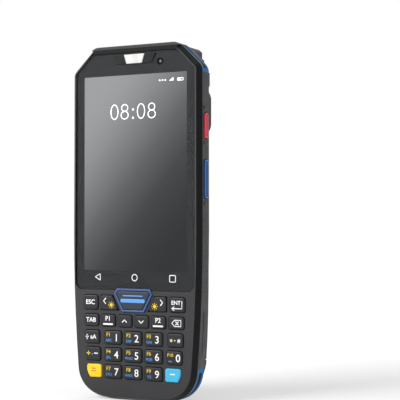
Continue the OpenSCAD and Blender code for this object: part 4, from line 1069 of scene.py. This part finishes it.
columns, rows = np.meshgrid(np.arange(7) * PAD_PITCH + 0.7, np.arange(27.5, 110.5, PAD_PITCH), indexing="ij")
pad_x = over_shoulder(columns.ravel(), 0)[0]
kept = pad_x < band_x(rows.ravel()) - 5.7
pads = np.column_stack([columns.ravel(), rows.ravel(), np.zeros(columns.size)])[kept]
square = np.array([[-1, -1], [1, -1], [1, 1], [-1, 1]])
pad = capped([np.column_stack([square * half, np.full(4, height)])
              for half, height in ((HALF_FOOT, -0.12), (HALF_FOOT, 0.02), (HALF_TOP, PAD_RISE))])


def on_shoulder(side):
    """Lays a run, up and height onto the right or left shoulder of the cover."""
    def lay(a, b, h):
        x, y = over_shoulder(a, h)
        return place_mm(side * x, y, b)
    return lay


pad_plastic = moulded("pad_plastic", paint(112, 113, 115), 0.3, 0.01, (0.4, 0.52))
part("grip_fields", [repeated(*pad, pads, on_shoulder(side)) for side in (1, -1)], pad_plastic,
     "battery_pack", "rear_shell", fold=25)
part("bare_badge", [raised(round_off([[-17.2, 20.6], [17.2, 20.6], [15.4, 26.8], [-15.4, 26.8]], 0.5),
                           [(0, -0.03), (0, 0.12), (0.1, 0.2), (0.35, 0.22)], on_back(22.5))],
     label_film, "battery_pack", "rear_shell")
BOW_RADIUS, BOW_Z = 0.8, 112.0
locks = []
for x, swing in ((6.4, 0.0), (-7.9, 0.9)):
    locks.append(raised(rounded(2.6, 2.0, 0.3, 3, x, 110.2), [(0, -0.05), (0, 0.05)], BACK_SKIN))
    arch = circle(x + swing, BOW_Z, BOW_RADIUS, 24)[:13]
    path = np.vstack([arch[:1] - [0, 0.9], arch, arch[-1:] - [0, 0.9]])
    locks.append(stroke(path, 0.4, BACK_SKIN, 0.05, 0.05))
part("lock_signs", locks, dark_ink, "battery_pack", "rear_shell")
wrap = moulded("wrap", paint(60, 62, 66), 0.2, 0.004, (0.3, 0.42), rub=0.1)
cell_levels = [(0.9, 0), (0.25, 0.25), (0, 0.9), (0, 8.8), (0.25, 9.45), (0.9, 9.7)]
part("cell_pack", [raised(rounded(49.0, 86.3, 2.2, 6, 0, 65.75), cell_levels, on_back(11.3))], wrap,
     "battery_pack", "battery", ["battery_cell"])
pack_label = moulded("pack_label", paint(196, 197, 200), 0.2, 0.002, (0.3, 0.4))
CELL_FACE, TERMINAL_Z, TERMINALS = on_front(11.32), 103.0, (-6.6, -2.2, 2.2, 6.6)
part("cell_label", [raised(rounded(40.0, 52.0, 1.2, 5, 0, 60.0), [(0, -0.05), (0, 0.06)], CELL_FACE)],
     pack_label, "battery_pack", "battery")
part("cell_terminals", [raised(rounded(2.4, 5.0, 0.3, 3, x, TERMINAL_Z), [(0, -0.05), (0, 0.07), (0.1, 0.1)],
                               CELL_FACE) for x in TERMINALS], gold, "battery_pack", "battery")
part("bay_springs", [raised(rounded(1.2, 4.0, 0.2, 3, x, TERMINAL_Z), [(0, -0.1), (0, 0.05), (0.1, 0.08)],
                            on_back(11.0)) for x in TERMINALS], gold, "housing", "gold")


# The ends: the scan window in the top, a dark red filter glass, and the charging
# socket in the base, a drawn steel shell with a tongue that carries its contacts.
def on_top(z):
    """Lays across, depth and height onto the top end."""
    return lambda a, b, h: place_mm(a, b, z + h)


def down_from(z):
    """Lays across, depth and height downwards from a level, as seen from the base."""
    return lambda a, b, h: place_mm(a, b, z - h)


window_red, tree, place, finish = new_material("window_red")
haze = noise(tree, place, 80.0, 4.0)
red = mix(tree, spread(tree, haze, 0, 1), paint(46, 8, 14), paint(64, 12, 20))
finish(Base_Color=red, Specular_IOR_Level=0.25, Roughness=spread(tree, haze, 0.05, 0.12))
pane_levels = [(0, 0), (0, 2.7), (0.1, 2.85), (0.3, 2.9)]
part("scan_glass", [raised([[-12, 6.8], [12, 6.8], [12, 17], [-12, 17]], pane_levels, on_top(166.6), 0.5)],
     window_red, "housing", "scan_window", ["scan_window"])
socket_steel = cast_metal("socket_steel", paint(176, 178, 182), (0.25, 0.35))
softened("charge_socket", "usb_port", "housing", "usb_shell", socket_steel, width=0.08, least=0.2)
SOCKET_Y, TONGUE_ROOT = 6.7, 6.7
part("socket_tongue", [raised(rounded(6.6, 0.7, 0.3, 4, 0, SOCKET_Y), [(0, 0), (0, 5.2), (0.15, 5.4)],
                              down_from(TONGUE_ROOT))], inner_black, "housing", "usb_shell")
blades = [rounded(0.25, 0.06, 0.02, 2, -2.75 + 0.5 * i, SOCKET_Y + side * 0.36)
          for i in range(12) for side in (1, -1)]
part("tongue_contacts", [raised(blade, [(0, 0), (0, 4.4)], down_from(TONGUE_ROOT - 0.3)) for blade in blades],
     gold, "housing", "usb_shell")
